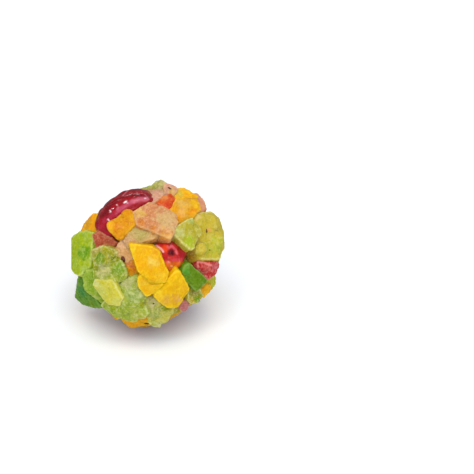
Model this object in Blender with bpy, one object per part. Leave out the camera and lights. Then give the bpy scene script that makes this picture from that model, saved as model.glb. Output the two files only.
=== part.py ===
# Fruit laddu: a ball of diced candied fruit pressed together with syrup, with glace cherries set in it.
# One node is the pressed fruit: a lumpy core with every dice that shows joined on. Each cherry is its
# own node, seated in a socket of the pressed fruit. Metres, +Z up, origin at the middle of the flat that
# the ball rests on.

import math
import random

import bmesh
import bpy
from mathutils import Matrix, Vector, noise

MM = 0.001

# The ball and the flat that it rests on
BALL_RADIUS = 21.3 * MM
BALL_CENTRE = Vector((0.0, 0.0, 20.7 * MM))
CORE_RADIUS = 18.3 * MM
CORE_LUMP = 1.1 * MM
CORE_LUMPS_PER_METRE = 170.0

# The front is set out as it is seen from this eye: across and up, in a plane through the ball's centre
EYE_DISTANCE = 465.0 * MM
EYE_ELEVATION = math.radians(30.0)
TOWARDS_EYE = Vector((0.0, -math.cos(EYE_ELEVATION), math.sin(EYE_ELEVATION)))
ACROSS = Vector((1.0, 0.0, 0.0))
UP = TOWARDS_EYE.cross(ACROSS)
EYE = BALL_CENTRE + EYE_DISTANCE * TOWARDS_EYE

# How a dice is cut
FACE_TURN_TO_EYE = 0.35  # 0 lays an outer face square to the ball's radius, 1 square to the line of sight
CORNER_UNEVENNESS = 0.35 * MM
INNER_FACE_SCALE = 0.72
EDGE_ROUND = 0.4 * MM
HIGHEST_CORNER = BALL_RADIUS + 1.5 * MM
FLATTEST_CREASE = math.radians(4.0)  # corners that turn less than this between two faces are taken out
FLATTEST_FACET = math.radians(1.0)
CLOSEST_CORNERS = 0.05 * MM
STEEPEST_MIDDLE = 0.2  # least share of a front dice's reach that its middle keeps towards the eye

# The ball's outline as the eye sees it: corners (across, up) in mm, clockwise from the top
OUTLINE = [
    (3.7, 21.2), (8.2, 19.2), (14.6, 16.9), (16.3, 13.2), (20.3, 11.6), (22.0, 6.2), (22.1, 2.6),
    (19.6, -4.0), (18.9, -8.0), (17.0, -11.4), (10.8, -15.2), (5.2, -18.6), (3.2, -21.0), (-5.0, -20.6),
    (-12.0, -16.2), (-19.0, -13.8), (-20.6, -11.4), (-19.8, -6.6), (-22.2, -2.8), (-21.8, 4.8),
    (-15.0, 11.0), (-10.2, 15.5), (-6.2, 18.3), (-0.4, 18.4)
]
OUTLINE_MARGIN = 0.97  # hidden dice stay within this share of the outline

# Hidden side: sites spread over the ball by the golden angle, each with a dice that fills its room
SPREAD_COUNT = 118
SPREAD_STRAY = 0.09
HIDDEN_LIMIT = 0.5  # highest share of a site's direction that may point towards the eye
ROOM_TO_NEIGHBOUR = math.radians(13.0)
NEIGHBOUR_REACH = math.radians(60.0)
TYPICAL_SITE_WIDTH = 8.0 * MM
HIDDEN_WEIGHT = (0.8, 1.3)
HIDDEN_OVERLAP = 1.1
HIDDEN_LEAN = 0.32
HIDDEN_LIFT = (-2.3 * MM, 0.3 * MM)
HIDDEN_UNEVENNESS = 0.6 * MM
RIM_LIMIT = -0.12  # sites that point further towards the eye lie low, under the outline of the front dice
RIM_LIFT = (-2.4 * MM, -1.4 * MM)
RIM_LEAN = 0.12
HIDDEN_DEPTH = 6.5 * MM
SHORTEST_SIDE = 1.6 * MM
FOOT_REACH = math.cos(math.radians(24.0))  # sites this close to straight down carry the ball
FOOT_LIFT = 0.5 * MM
SEED = 11

# Smaller dice that lie on the others, on the sides away from the eye
LOOSE_COUNT = 84
LOOSE_STRAY = 0.12
LOOSE_TURN = 1.0
LOOSE_LIMIT = -0.1
LOOSE_ROOM_TO_NEIGHBOUR = math.radians(15.0)
LOOSE_CORNERS = (4, 6)
LOOSE_CORNER_STRAY = 0.2
LOOSE_REACH = (2.2 * MM, 3.4 * MM)
LOOSE_STRETCH = (1.0, 1.5)
LOOSE_LIFT = (-0.1 * MM, 0.8 * MM)
LOOSE_DEPTH = 3.6 * MM
LOOSE_KEPT_SHARE = 0.55

SOCKET_GAP = 0.3 * MM

# Dice that show, from the top down: lift above the ball, depth, and the corners (across, up), all in mm
FRONT_DICE = {
    "green_top": (-0.8, 7, [
        (0.2, 19.2), (2.6, 21.3), (3.9, 21.5), (5.3, 20.4), (5.6, 17.6), (3.2, 16.0)
    ]),
    "tan_top": (0.4, 6, [(4.9, 20.8), (8.2, 19.6), (8.5, 18.4), (6.5, 16.6), (4.6, 17.4)]),
    "orange_top": (0.2, 6, [
        (2.6, 15.0), (4.6, 16.9), (6.6, 17.5), (8.1, 15.9), (6.1, 12.8), (4.0, 13.4)
    ]),
    "amber_top": (0.2, 7, [
        (6.9, 17.6), (8.7, 19.0), (10.4, 19.2), (14.4, 16.8), (12.5, 15.3), (8.2, 15.4)
    ]),
    "amber_right": (0.4, 7, [
        (6.4, 12.8), (8.0, 15.9), (14.2, 16.6), (14.9, 13.6), (12.8, 10.6), (8.5, 9.0)
    ]),
    "pink_right": (-0.8, 5, [(13.0, 17.6), (14.3, 17.6), (15.9, 15.8), (16.9, 13.2), (14.2, 11.8)]),
    "peach_slab": (1.0, 6, [
        (-4.2, 12.3), (0.4, 14.5), (4.2, 13.8), (8.0, 11.4), (8.3, 8.8), (6.2, 4.8), (-3.2, 8.8)
    ]),
    "amber_left": (0.8, 6, [
        (-11.5, 7.6), (-10.7, 9.5), (-6.1, 12.3), (-4.7, 12.0), (-3.6, 9.4), (-7.2, 5.3),
        (-9.2, 5.4)
    ]),
    "olive_middle": (-0.8, 4, [
        (-7.6, 5.0), (-5.0, 8.8), (-2.0, 9.0), (4.0, 5.9), (-0.2, 3.9), (-5.5, 2.0)
    ]),
    "tan_middle": (-1.2, 6, [
        (-9.6, 1.2), (-7.2, 4.9), (-4.6, 4.9), (-4.2, -0.6), (-6.2, -2.4), (-8.2, -0.6)
    ]),
    "orange_middle": (-1.8, 6, [
        (-6.8, -2.2), (-4.4, -0.8), (-1.6, -6.2), (-4.4, -6.8), (-6.4, -5.6)
    ]),
    "amber_far_left": (-0.8, 6, [
        (-19.4, 6.8), (-18.3, 9.0), (-16.0, 11.7), (-14.6, 11.7), (-14.0, 7.0), (-16.5, 5.6)
    ]),
    "rosy_left": (-1.4, 6, [
        (-15.9, 5.6), (-14.4, 7.0), (-12.2, 5.9), (-9.0, 3.5), (-10.8, 1.6), (-14.6, 1.2)
    ]),
    "lime_left": (0.0, 8, [
        (-22.0, 4.8), (-19.6, 6.6), (-15.8, 6.2), (-16.6, -3.2), (-19.8, -6.2), (-22.4, -3.8)
    ]),
    "green_left": (-0.4, 7, [
        (-16.4, 1.2), (-12.6, 2.4), (-9.0, 1.3), (-7.8, -1.6), (-10.4, -3.6), (-15.0, -4.4)
    ]),
    "green_lower_left": (-0.2, 7, [
        (-15.4, -3.4), (-7.6, -1.8), (-6.3, -6.2), (-6.8, -7.8), (-11.0, -7.6), (-15.6, -6.6)
    ]),
    "green_strip": (-0.6, 6, [
        (-18.7, -6.2), (-17.6, -4.5), (-15.0, -4.2), (-12.2, -14.1), (-13.9, -13.5),
        (-18.2, -10.0)
    ]),
    "lemon_slab": (1.2, 5, [
        (-15.8, -8.9), (-15.1, -7.2), (-10.3, -7.5), (-7.2, -12.8), (-8.4, -14.6), (-11.5, -14.3)
    ]),
    "deep_green_left": (-0.8, 7, [
        (-20.2, -7.0), (-18.8, -6.2), (-13.6, -15.2), (-14.8, -15.4), (-18.8, -14.3),
        (-20.9, -12.3)
    ]),
    "green_base": (0.2, 8, [
        (-6.5, -7.3), (-3.6, -6.6), (-0.9, -12.0), (-0.4, -17.3), (-4.6, -19.5), (-9.0, -18.3),
        (-13.4, -14.9)
    ]),
    "amber_base": (-1.5, 6, [
        (-7.6, -18.6), (-5.2, -21.0), (-3.9, -21.0), (0.0, -19.8), (-0.4, -17.4), (-5.0, -17.2)
    ]),
    "pale_wedge": (0.4, 7, [
        (-0.6, -12.2), (2.4, -12.4), (7.3, -15.7), (5.2, -19.2), (3.5, -21.0), (2.2, -21.0),
        (0.2, -19.6)
    ]),
    "golden_wedge": (1.6, 7, [
        (-5.3, 3.1), (1.4, 2.0), (3.0, 1.0), (5.8, -5.4), (5.0, -8.0), (1.2, -8.4), (-2.8, -4.6)
    ]),
    "golden_lobe": (1.0, 6, [
        (-2.9, -7.2), (-1.8, -5.8), (4.2, -8.4), (2.0, -10.9), (-0.4, -11.9), (-2.6, -9.4)
    ]),
    "yellow_right": (1.4, 7, [
        (2.2, -12.4), (2.1, -10.8), (8.3, -4.8), (9.2, -5.2), (11.9, -10.3), (8.7, -15.1),
        (6.0, -15.5)
    ]),
    "deep_green_right": (0.2, 7, [
        (10.0, -5.2), (10.6, -3.3), (11.9, -2.7), (17.1, -7.5), (14.0, -10.5), (11.2, -7.8)
    ]),
    "olive_right": (0.0, 7, [
        (11.6, -12.9), (12.2, -8.6), (14.0, -9.5), (15.6, -11.4), (14.4, -13.8), (12.8, -14.2)
    ]),
    "red_right": (-0.2, 7, [
        (14.5, -1.8), (19.9, -1.5), (20.4, -2.8), (19.4, -5.4), (17.7, -7.2), (14.4, -4.0)
    ]),
    "lime_right": (0.3, 8, [
        (13.7, 11.8), (18.3, 12.3), (21.0, 10.6), (22.6, 2.8), (20.3, -1.4), (15.4, -1.2),
        (13.5, 1.2)
    ]),
    "pale_green_right": (1.0, 6, [
        (7.5, 5.9), (8.3, 8.0), (12.8, 10.6), (15.4, 7.0), (13.2, 2.1), (11.8, 1.9)
    ]),
    "olive_far_right": (-0.9, 6, [
        (16.4, -7.2), (19.1, -5.5), (19.6, -7.4), (18.9, -9.5), (17.4, -11.2), (15.8, -9.5)
    ]),
    "orange_right": (-0.6, 6, [
        (14.8, -11.6), (16.8, -8.8), (18.0, -9.1), (17.8, -10.8), (16.4, -12.2)
    ]),
    "pink_base": (-0.8, 5, [
        (8.6, -14.8), (11.0, -12.8), (12.1, -13.8), (11.1, -15.9), (9.8, -16.2)
    ]),
}

# Cherries: centre (across, up, towards the eye), half sizes (long, wide, stem) and turns, in mm and degrees
CHERRIES = {
    "cherry_upper_left": dict(
        centre=(-6.1, 10.6, 10.6), halves=(9.9, 6.8, 6.8), turn=38.0, tip=-115.0, wrinkle=0.015
    ),
    "cherry_middle_right": dict(
        centre=(5.2, -0.5, 15.2), halves=(5.3, 5.9, 5.2), turn=-50.0, tip=-22.0, wrinkle=0.055
    ),
    "cherry_back_upper": dict(
        centre=(9.2, 6.7, -11.9), halves=(8.6, 7.4, 6.8), turn=-35.0, tip=150.0, wrinkle=0.03
    ),
    "cherry_back_lower": dict(
        centre=(-9.0, -5.0, -12.5), halves=(6.8, 6.0, 5.8), turn=60.0, tip=200.0, wrinkle=0.03
    ),
}
CHERRY_SHARE_OF_WIDTH = 2.0  # a cherry keeps this many half widths free round it
CHERRY_SEGMENTS = 26
CHERRY_RINGS = 15
CHERRY_DIMPLE_DEPTH = 0.24
CHERRY_DIMPLE_SPREAD = 0.34
CHERRY_WRINKLES = 7
CHERRY_WRINKLE_LEAN = 2.0

FLOOR_CUT_DEPTH = 20.0 * MM
CORE_SUBDIVISIONS = 3


def clear_scene():
    for obj in list(bpy.data.objects):
        bpy.data.objects.remove(obj, do_unlink=True)


def new_collection(name):
    collection = bpy.data.collections.new(name)
    bpy.context.scene.collection.children.link(collection)
    return collection


def new_material(name, colour, roughness):
    material = bpy.data.materials.new(name)
    material.use_nodes = True
    surface = material.node_tree.nodes["Principled BSDF"]
    surface.inputs["Base Color"].default_value = (*colour, 1.0)
    surface.inputs["Roughness"].default_value = roughness
    surface.inputs["Metallic"].default_value = 0.0
    material.diffuse_color = (*colour, 1.0)
    return material


def new_object(name, bm, collection):
    mesh = bpy.data.meshes.new(name)
    bm.to_mesh(mesh)
    bm.free()
    obj = bpy.data.objects.new(name, mesh)
    collection.objects.link(obj)
    return obj


def seen_from_eye(across, up, towards=0.0):
    """The point at these distances from the ball's centre, square to the line of sight and along it."""
    return BALL_CENTRE + across * ACROSS + up * UP + towards * TOWARDS_EYE


def on_sight_line(across, up, plane_point, plane_normal):
    """Where the line from the eye through the set-out point (across, up) meets a plane."""
    line = seen_from_eye(across, up) - EYE
    return EYE + line * ((plane_point - EYE).dot(plane_normal) / line.dot(plane_normal))


def sharp_hull(points):
    """The closed convex solid round the points."""
    bm = bmesh.new()
    for point in points:
        bm.verts.new(point)
    hull = bmesh.ops.convex_hull(bm, input=bm.verts)
    left_over = set(hull["geom_interior"] + hull["geom_unused"])
    loose = [vert for vert in bm.verts if vert in left_over]
    bmesh.ops.delete(bm, geom=loose, context="VERTS")
    return bm


def outline_reach(heading):
    """How far the outline lies from the ball's centre in this direction, in metres."""
    for start, end in zip(OUTLINE, OUTLINE[1:] + OUTLINE[:1]):
        start = Vector(start)
        side = Vector(end) - start
        turn = side.cross(heading)
        if turn == 0.0:
            continue
        share = -start.cross(heading) / turn
        crossing = start + side * share
        if 0.0 <= share <= 1.0 and crossing.dot(heading) > 0.0:
            return crossing.length * MM
    return BALL_RADIUS


def held_in_outline(corner):
    """The corner, drawn in towards the line of sight if the eye would see it past the outline."""
    offset = corner - BALL_CENTRE
    towards = offset.dot(TOWARDS_EYE)
    shown_larger = EYE_DISTANCE / (EYE_DISTANCE - towards)
    shown = Vector((offset.dot(ACROSS), offset.dot(UP))) * shown_larger
    if shown.length == 0.0:
        return corner
    limit = outline_reach(shown.normalized()) * OUTLINE_MARGIN
    drawn_in = min(1.0, limit / shown.length) / shown_larger
    return seen_from_eye(shown.x * drawn_in, shown.y * drawn_in, towards)


def hull_of(points):
    """A closed convex solid round the points, with its edges rounded by one flat."""
    sharp = sharp_hull(points)
    bmesh.ops.dissolve_limit(sharp, angle_limit=FLATTEST_CREASE, verts=sharp.verts, edges=sharp.edges)
    bmesh.ops.bevel(
        sharp, geom=sharp.edges, offset=EDGE_ROUND, segments=1, affect="EDGES", clamp_overlap=True
    )
    bmesh.ops.remove_doubles(sharp, verts=sharp.verts, dist=CLOSEST_CORNERS)
    rounded = sharp_hull([vert.co for vert in sharp.verts])
    sharp.free()
    bmesh.ops.dissolve_limit(rounded, angle_limit=FLATTEST_FACET, verts=rounded.verts, edges=rounded.edges)
    bmesh.ops.recalc_face_normals(rounded, faces=rounded.faces)
    return rounded


def dice_points(outer, outward, depth):
    """The corners of a dice: its outer face, and that face drawn in and set back into the ball."""
    middle = sum(outer, Vector()) / len(outer)
    inner = [middle + (corner - middle) * INNER_FACE_SCALE - outward * depth for corner in outer]
    return outer + inner


def front_middle(outline, lift):
    """The middle of a dice's outer face, which lies on the ball."""
    across = sum(x for x, _ in outline) / len(outline) * MM
    up = sum(y for _, y in outline) / len(outline) * MM
    reach = BALL_RADIUS + lift * MM
    towards = math.sqrt(max(reach**2 - across**2 - up**2, (STEEPEST_MIDDLE * reach) ** 2))
    return seen_from_eye(across, up, towards)


def held_to_ball(corner):
    """The corner, moved along the line of sight if it stands too far out from the ball."""
    offset = corner - BALL_CENTRE
    towards = offset.dot(TOWARDS_EYE)
    beside = offset - towards * TOWARDS_EYE
    highest = math.sqrt(max(HIGHEST_CORNER**2 - beside.length_squared, 0.0))
    return BALL_CENTRE + beside + min(towards, highest) * TOWARDS_EYE


def front_dice(outline, lift, depth, draw):
    """A dice whose outer face has this outline as the eye sees it."""
    middle = front_middle(outline, lift)
    outward = (middle - BALL_CENTRE).normalized()
    face_normal = outward.lerp(TOWARDS_EYE, FACE_TURN_TO_EYE).normalized()
    outer = []
    for x, y in outline:
        corner = held_to_ball(on_sight_line(x * MM, y * MM, middle, face_normal))
        outer.append(corner - TOWARDS_EYE * draw.uniform(-1.0, 1.0) * CORNER_UNEVENNESS)
    return hull_of(dice_points(outer, outward, depth * MM))


def shown_sites():
    """(direction, weight) of what shows: the front dice and the cherries."""
    for lift, _, outline in FRONT_DICE.values():
        width = max(x for x, _ in outline) - min(x for x, _ in outline)
        height = max(y for _, y in outline) - min(y for _, y in outline)
        weight = math.sqrt(width * height) * MM / TYPICAL_SITE_WIDTH
        yield (front_middle(outline, lift) - BALL_CENTRE).normalized(), weight
    for form in CHERRIES.values():
        centre = seen_from_eye(*(value * MM for value in form["centre"]))
        weight = CHERRY_SHARE_OF_WIDTH * form["halves"][1] * MM / TYPICAL_SITE_WIDTH
        yield (centre - BALL_CENTRE).normalized(), weight


def spread_directions(count, first_turn, stray, draw):
    """Directions spread over the ball by the golden angle, each a little astray."""
    golden_angle = math.pi * (3.0 - math.sqrt(5.0))
    for index in range(count):
        height = 1.0 - 2.0 * (index + 0.5) / count
        ring = math.sqrt(1.0 - height * height)
        turn = golden_angle * index + first_turn
        even = Vector((ring * math.cos(turn), ring * math.sin(turn), height))
        aside = Vector([draw.uniform(-1.0, 1.0) * stray for _ in range(3)])
        yield (even + aside).normalized()


def hidden_sites(shown, draw):
    """(direction, weight) of the dice on the side that the eye does not reach."""
    for direction in spread_directions(SPREAD_COUNT, 0.0, SPREAD_STRAY, draw):
        weight = draw.uniform(*HIDDEN_WEIGHT)
        nearest = min(direction.angle(other) / share for other, share in shown)
        if direction.dot(TOWARDS_EYE) < HIDDEN_LIMIT and nearest > ROOM_TO_NEIGHBOUR:
            yield direction, weight


def clip(outline, normal, limit):
    """The part of a flat convex outline on the near side of a line."""
    kept = []
    for start, end in zip(outline, outline[1:] + outline[:1]):
        start_past = start.dot(normal) - limit
        end_past = end.dot(normal) - limit
        if start_past <= 0.0:
            kept.append(start)
        if start_past * end_past < 0.0:
            kept.append(start.lerp(end, start_past / (start_past - end_past)))
    return kept


def room_between(site, weight, others):
    """Corners, in the plane that touches the ball at a site, of the room that its neighbours leave."""
    side = site.orthogonal().normalized()
    over = site.cross(side)
    reach = TYPICAL_SITE_WIDTH
    square = ((-reach, -reach), (reach, -reach), (reach, reach), (-reach, reach))
    outline = [Vector(corner) for corner in square]
    for other, other_weight in others:
        apart = site.angle(other)
        if 0.0 < apart < NEIGHBOUR_REACH:
            heading = Vector((other.dot(side), other.dot(over))).normalized()
            share = weight / (weight + other_weight)
            outline = clip(outline, heading, apart * BALL_RADIUS * share)
    spaced = []
    for corner in outline:
        if all((corner - kept).length > SHORTEST_SIDE for kept in spaced):
            spaced.append(corner)
    return [side * corner.x + over * corner.y for corner in spaced]


def hidden_lift(site, draw):
    """How far a dice on the hidden side stands out from the ball, or below zero lies under it."""
    lift = draw.uniform(*(RIM_LIFT if site.dot(TOWARDS_EYE) > RIM_LIMIT else HIDDEN_LIFT))
    return FOOT_LIFT if -site.z > FOOT_REACH else lift


def hidden_points(site, room, lift, depth, draw):
    """Corners of a dice on the hidden side, leaning a little and cut to the room that it has."""
    steepest = RIM_LEAN if site.dot(TOWARDS_EYE) > RIM_LIMIT else HIDDEN_LEAN
    lean = Vector([draw.uniform(-1.0, 1.0) * steepest for _ in range(3)])
    outer = []
    for corner in room:
        unevenness = draw.uniform(-1.0, 1.0) * HIDDEN_UNEVENNESS
        offset = site * (BALL_RADIUS + lift + unevenness + corner.dot(lean)) + corner * HIDDEN_OVERLAP
        outer.append(BALL_CENTRE + offset * min(1.0, HIGHEST_CORNER / offset.length))
    return [held_in_outline(corner) for corner in dice_points(outer, site, depth)]


def loose_sites(shown, draw):
    """Directions of the smaller dice that lie on the others."""
    for direction in spread_directions(LOOSE_COUNT, LOOSE_TURN, LOOSE_STRAY, draw):
        kept = draw.random() < LOOSE_KEPT_SHARE
        nearest = min(direction.angle(other) / share for other, share in shown)
        hidden = direction.dot(TOWARDS_EYE) < LOOSE_LIMIT and -direction.z < FOOT_REACH
        if kept and hidden and nearest > LOOSE_ROOM_TO_NEIGHBOUR:
            yield direction


def loose_room(site, draw):
    """Corners, in the plane that touches the ball at a site, of a smaller dice."""
    side = Matrix.Rotation(draw.uniform(0.0, math.tau), 3, site) @ site.orthogonal().normalized()
    over = site.cross(side)
    stretch = draw.uniform(*LOOSE_STRETCH)
    count = draw.randint(*LOOSE_CORNERS)
    room = []
    for corner in range(count):
        turn = math.tau * (corner + draw.uniform(-1.0, 1.0) * LOOSE_CORNER_STRAY) / count
        reach = draw.uniform(*LOOSE_REACH)
        room.append(side * math.cos(turn) * reach * stretch + over * math.sin(turn) * reach)
    return room


def core(collection):
    """The lumpy mass of fruit and syrup under the dice."""
    bm = bmesh.new()
    bmesh.ops.create_icosphere(bm, subdivisions=CORE_SUBDIVISIONS, radius=CORE_RADIUS)
    for vert in bm.verts:
        lump = noise.noise(vert.co * CORE_LUMPS_PER_METRE)
        vert.co += vert.co.normalized() * lump * CORE_LUMP
    bmesh.ops.translate(bm, verts=bm.verts, vec=BALL_CENTRE)
    return new_object("fruit_cluster", bm, collection)


def cherry_form(halves, turn, tip, wrinkle, centre, grow=0.0):
    """A cherry: a ball with a dimple where the stone came out and shallow wrinkles running to it."""
    bm = bmesh.new()
    bmesh.ops.create_uvsphere(bm, u_segments=CHERRY_SEGMENTS, v_segments=CHERRY_RINGS, radius=1.0)
    for vert in bm.verts:
        from_dimple = math.acos(max(-1.0, min(1.0, vert.co.z)))
        round_stem = math.atan2(vert.co.y, vert.co.x)
        dimple = CHERRY_DIMPLE_DEPTH * math.exp(-((from_dimple / CHERRY_DIMPLE_SPREAD) ** 2))
        ridge = math.sin(CHERRY_WRINKLES * round_stem + CHERRY_WRINKLE_LEAN * vert.co.z)
        ridge *= math.sin(from_dimple) ** 2
        vert.co *= 1.0 - dimple + wrinkle * ridge
        vert.co = Vector((vert.co.x * halves[0], vert.co.y * halves[1], vert.co.z * halves[2])) * MM
    bm.normal_update()
    for vert in bm.verts:
        vert.co += vert.normal * grow
    eye_frame = Matrix((ACROSS, UP, TOWARDS_EYE)).transposed()
    turned = Matrix.Rotation(math.radians(turn), 3, "Z") @ Matrix.Rotation(math.radians(tip), 3, "X")
    bmesh.ops.rotate(bm, verts=bm.verts, cent=(0, 0, 0), matrix=eye_frame @ turned)
    bmesh.ops.translate(bm, verts=bm.verts, vec=seen_from_eye(*(value * MM for value in centre)))
    return bm


def apply_boolean(target, operation, operand):
    """Joins a collection to the target, or cuts one object from it, and applies the result."""
    modifier = target.modifiers.new(operation.lower(), "BOOLEAN")
    modifier.operation = operation
    modifier.solver = "EXACT"
    if isinstance(operand, bpy.types.Collection):
        modifier.operand_type = "COLLECTION"
        modifier.collection = operand
    else:
        modifier.object = operand
    graph = bpy.context.evaluated_depsgraph_get()
    result = bpy.data.meshes.new_from_object(target.evaluated_get(graph))
    target.modifiers.remove(modifier)
    target.data = result


def keep_largest_shell(obj):
    """Drops the loose scraps that a cut left, and the walls of sealed hollows, which fills them."""
    bm = bmesh.new()
    bm.from_mesh(obj.data)
    unseen = set(bm.verts)
    shells = []
    while unseen:
        front = [unseen.pop()]
        shell = set(front)
        while front:
            for edge in front.pop().link_edges:
                for vert in edge.verts:
                    if vert in unseen:
                        unseen.remove(vert)
                        shell.add(vert)
                        front.append(vert)
        shells.append(shell)
    largest = max(shells, key=len)
    bmesh.ops.delete(bm, geom=[vert for vert in bm.verts if vert not in largest], context="VERTS")
    bm.to_mesh(obj.data)
    bm.free()


def floor_cutter(collection):
    """Everything below the flat that the ball rests on."""
    width = 4.0 * BALL_RADIUS
    bm = bmesh.new()
    bmesh.ops.create_cube(bm, size=1.0)
    bmesh.ops.scale(bm, verts=bm.verts, vec=(width, width, FLOOR_CUT_DEPTH))
    bmesh.ops.translate(bm, verts=bm.verts, vec=(0.0, 0.0, -FLOOR_CUT_DEPTH / 2.0))
    return new_object("floor_cutter", bm, collection)


def hide_cutter(obj):
    obj.hide_render = True
    obj.display_type = "WIRE"


def build():
    clear_scene()
    laddu = new_collection("fruit_laddu")
    cutters = new_collection("cutters")
    dice = new_collection("dice")
    draw = random.Random(SEED)

    fruit = core(laddu)
    for name, (lift, depth, outline) in FRONT_DICE.items():
        new_object(name, front_dice(outline, lift, depth, draw), dice)
    shown = list(shown_sites())
    hidden = list(hidden_sites(shown, draw))
    for number, (site, weight) in enumerate(hidden):
        room = room_between(site, weight, shown + hidden)
        points = hidden_points(site, room, hidden_lift(site, draw), HIDDEN_DEPTH, draw)
        new_object(f"hidden_dice_{number}", hull_of(points), dice)
    loose = list(loose_sites(shown, draw))
    for number, site in enumerate(loose):
        room = loose_room(site, draw)
        points = hidden_points(site, room, draw.uniform(*LOOSE_LIFT), LOOSE_DEPTH, draw)
        new_object(f"loose_dice_{number}", hull_of(points), dice)
    apply_boolean(fruit, "UNION", dice)
    for obj in list(dice.objects):
        bpy.data.objects.remove(obj, do_unlink=True)

    cherry_red = new_material("glace_cherry", (0.42, 0.01, 0.03), 0.22)
    for name, form in CHERRIES.items():
        cutter = new_object(f"{name}_socket", cherry_form(**form, grow=SOCKET_GAP), cutters)
        apply_boolean(fruit, "DIFFERENCE", cutter)
        hide_cutter(cutter)
        cherry = new_object(name, cherry_form(**form), laddu)
        cherry.data.materials.append(cherry_red)
        cherry.data.shade_smooth()

    floor = floor_cutter(cutters)
    apply_boolean(fruit, "DIFFERENCE", floor)
    hide_cutter(floor)
    keep_largest_shell(fruit)
    fruit.data.materials.clear()
    fruit.data.materials.append(new_material("candied_fruit", (0.55, 0.5, 0.08), 0.4))


build()
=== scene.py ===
# Fruit laddu: diced candied fruit pressed into a ball with syrup, with glossy cherries set in it
import math
import random

import bmesh
import bpy
import numpy as np
from mathutils import Matrix, Vector, noise
from mathutils.bvhtree import BVHTree
from mathutils.kdtree import KDTree


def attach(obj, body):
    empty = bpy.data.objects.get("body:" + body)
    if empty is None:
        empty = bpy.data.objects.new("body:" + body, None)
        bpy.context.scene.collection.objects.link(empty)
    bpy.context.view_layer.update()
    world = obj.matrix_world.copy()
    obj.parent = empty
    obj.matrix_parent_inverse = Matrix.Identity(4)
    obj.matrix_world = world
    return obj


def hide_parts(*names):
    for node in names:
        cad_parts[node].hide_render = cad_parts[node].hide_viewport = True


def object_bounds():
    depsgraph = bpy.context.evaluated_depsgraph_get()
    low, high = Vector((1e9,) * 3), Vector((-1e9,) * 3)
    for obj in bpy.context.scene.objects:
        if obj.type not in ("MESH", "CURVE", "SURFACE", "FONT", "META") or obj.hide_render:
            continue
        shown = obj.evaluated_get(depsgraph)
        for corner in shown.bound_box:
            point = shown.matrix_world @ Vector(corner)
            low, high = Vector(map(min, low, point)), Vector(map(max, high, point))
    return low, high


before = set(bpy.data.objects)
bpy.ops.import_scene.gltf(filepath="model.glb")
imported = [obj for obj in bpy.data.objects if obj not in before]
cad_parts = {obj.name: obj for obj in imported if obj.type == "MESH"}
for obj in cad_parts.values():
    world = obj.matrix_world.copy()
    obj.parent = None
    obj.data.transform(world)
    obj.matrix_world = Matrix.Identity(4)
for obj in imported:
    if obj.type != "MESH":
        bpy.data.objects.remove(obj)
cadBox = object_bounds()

mm = 0.001
bodyName = "root"
fruitSlot = "candied_fruit"
cherrySlot = "glace_cherry"

# The ball, and the eye that its front is set out from
ball = {
    "radius": 21.3 * mm,
    "centre": Vector((0.0, 0.0, 20.7 * mm)),
    "highestCorner": 22.8 * mm,
    "seed": 11,
}
eye = {
    "distance": 465.0 * mm,
    "elevation": math.radians(30.0),
    "lens": 121.8,
    "sensor": 36.0,
    "nearest": 0.01,
    "furthest": 10.0,
    "aimAcross": 25.8 * mm,  # the ball stands left of the middle of the picture
    "aimUp": 5.1 * mm,
}
towardsEye = Vector((0.0, -math.cos(eye["elevation"]), math.sin(eye["elevation"])))
across = Vector((1.0, 0.0, 0.0))
up = towardsEye.cross(across)
eyePoint = ball["centre"] + eye["distance"] * towardsEye


# Small helpers

def srgb(red, green, blue):  # 0 to 255, as a colour picker shows it, to the linear colour that a shader takes
    linear = []
    for value in (red, green, blue):
        share = value / 255.0
        linear.append(share / 12.92 if share <= 0.04045 else ((share + 0.055) / 1.055) ** 2.4)
    return (*linear, 1.0)


def seenFromEye(acrossBy, upBy, towards=0.0):
    return ball["centre"] + acrossBy * across + upBy * up + towards * towardsEye


def onSightLine(acrossBy, upBy, planePoint, planeNormal):
    line = seenFromEye(acrossBy, upBy) - eyePoint
    return eyePoint + line * ((planePoint - eyePoint).dot(planeNormal) / line.dot(planeNormal))


def linkObject(name, mesh):
    obj = bpy.data.objects.new(name, mesh)
    bpy.context.scene.collection.objects.link(obj)
    return obj


def evaluatedMesh(obj):
    graph = bpy.context.evaluated_depsgraph_get()
    return bpy.data.meshes.new_from_object(obj.evaluated_get(graph))


def removeObject(obj):
    mesh = obj.data
    bpy.data.objects.remove(obj, do_unlink=True)
    bpy.data.meshes.remove(mesh)


def meshArrays(mesh):
    points = np.empty(len(mesh.vertices) * 3, np.float32)
    mesh.vertices.foreach_get("co", points)
    mesh.calc_loop_triangles()
    faces = np.empty(len(mesh.loop_triangles) * 3, np.int32)
    mesh.loop_triangles.foreach_get("vertices", faces)
    return points.reshape(-1, 3).astype(float), faces.reshape(-1, 3)


def addAttribute(mesh, name, kind, values):
    attribute = mesh.attributes.new(name, kind, "POINT")
    field = {"FLOAT": "value", "FLOAT_VECTOR": "vector", "FLOAT_COLOR": "color"}[kind]
    attribute.data.foreach_set(field, np.asarray(values, np.float32).ravel())


def smoothstep(values):
    values = np.clip(values, 0.0, 1.0)
    return values * values * (3.0 - 2.0 * values)


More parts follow.
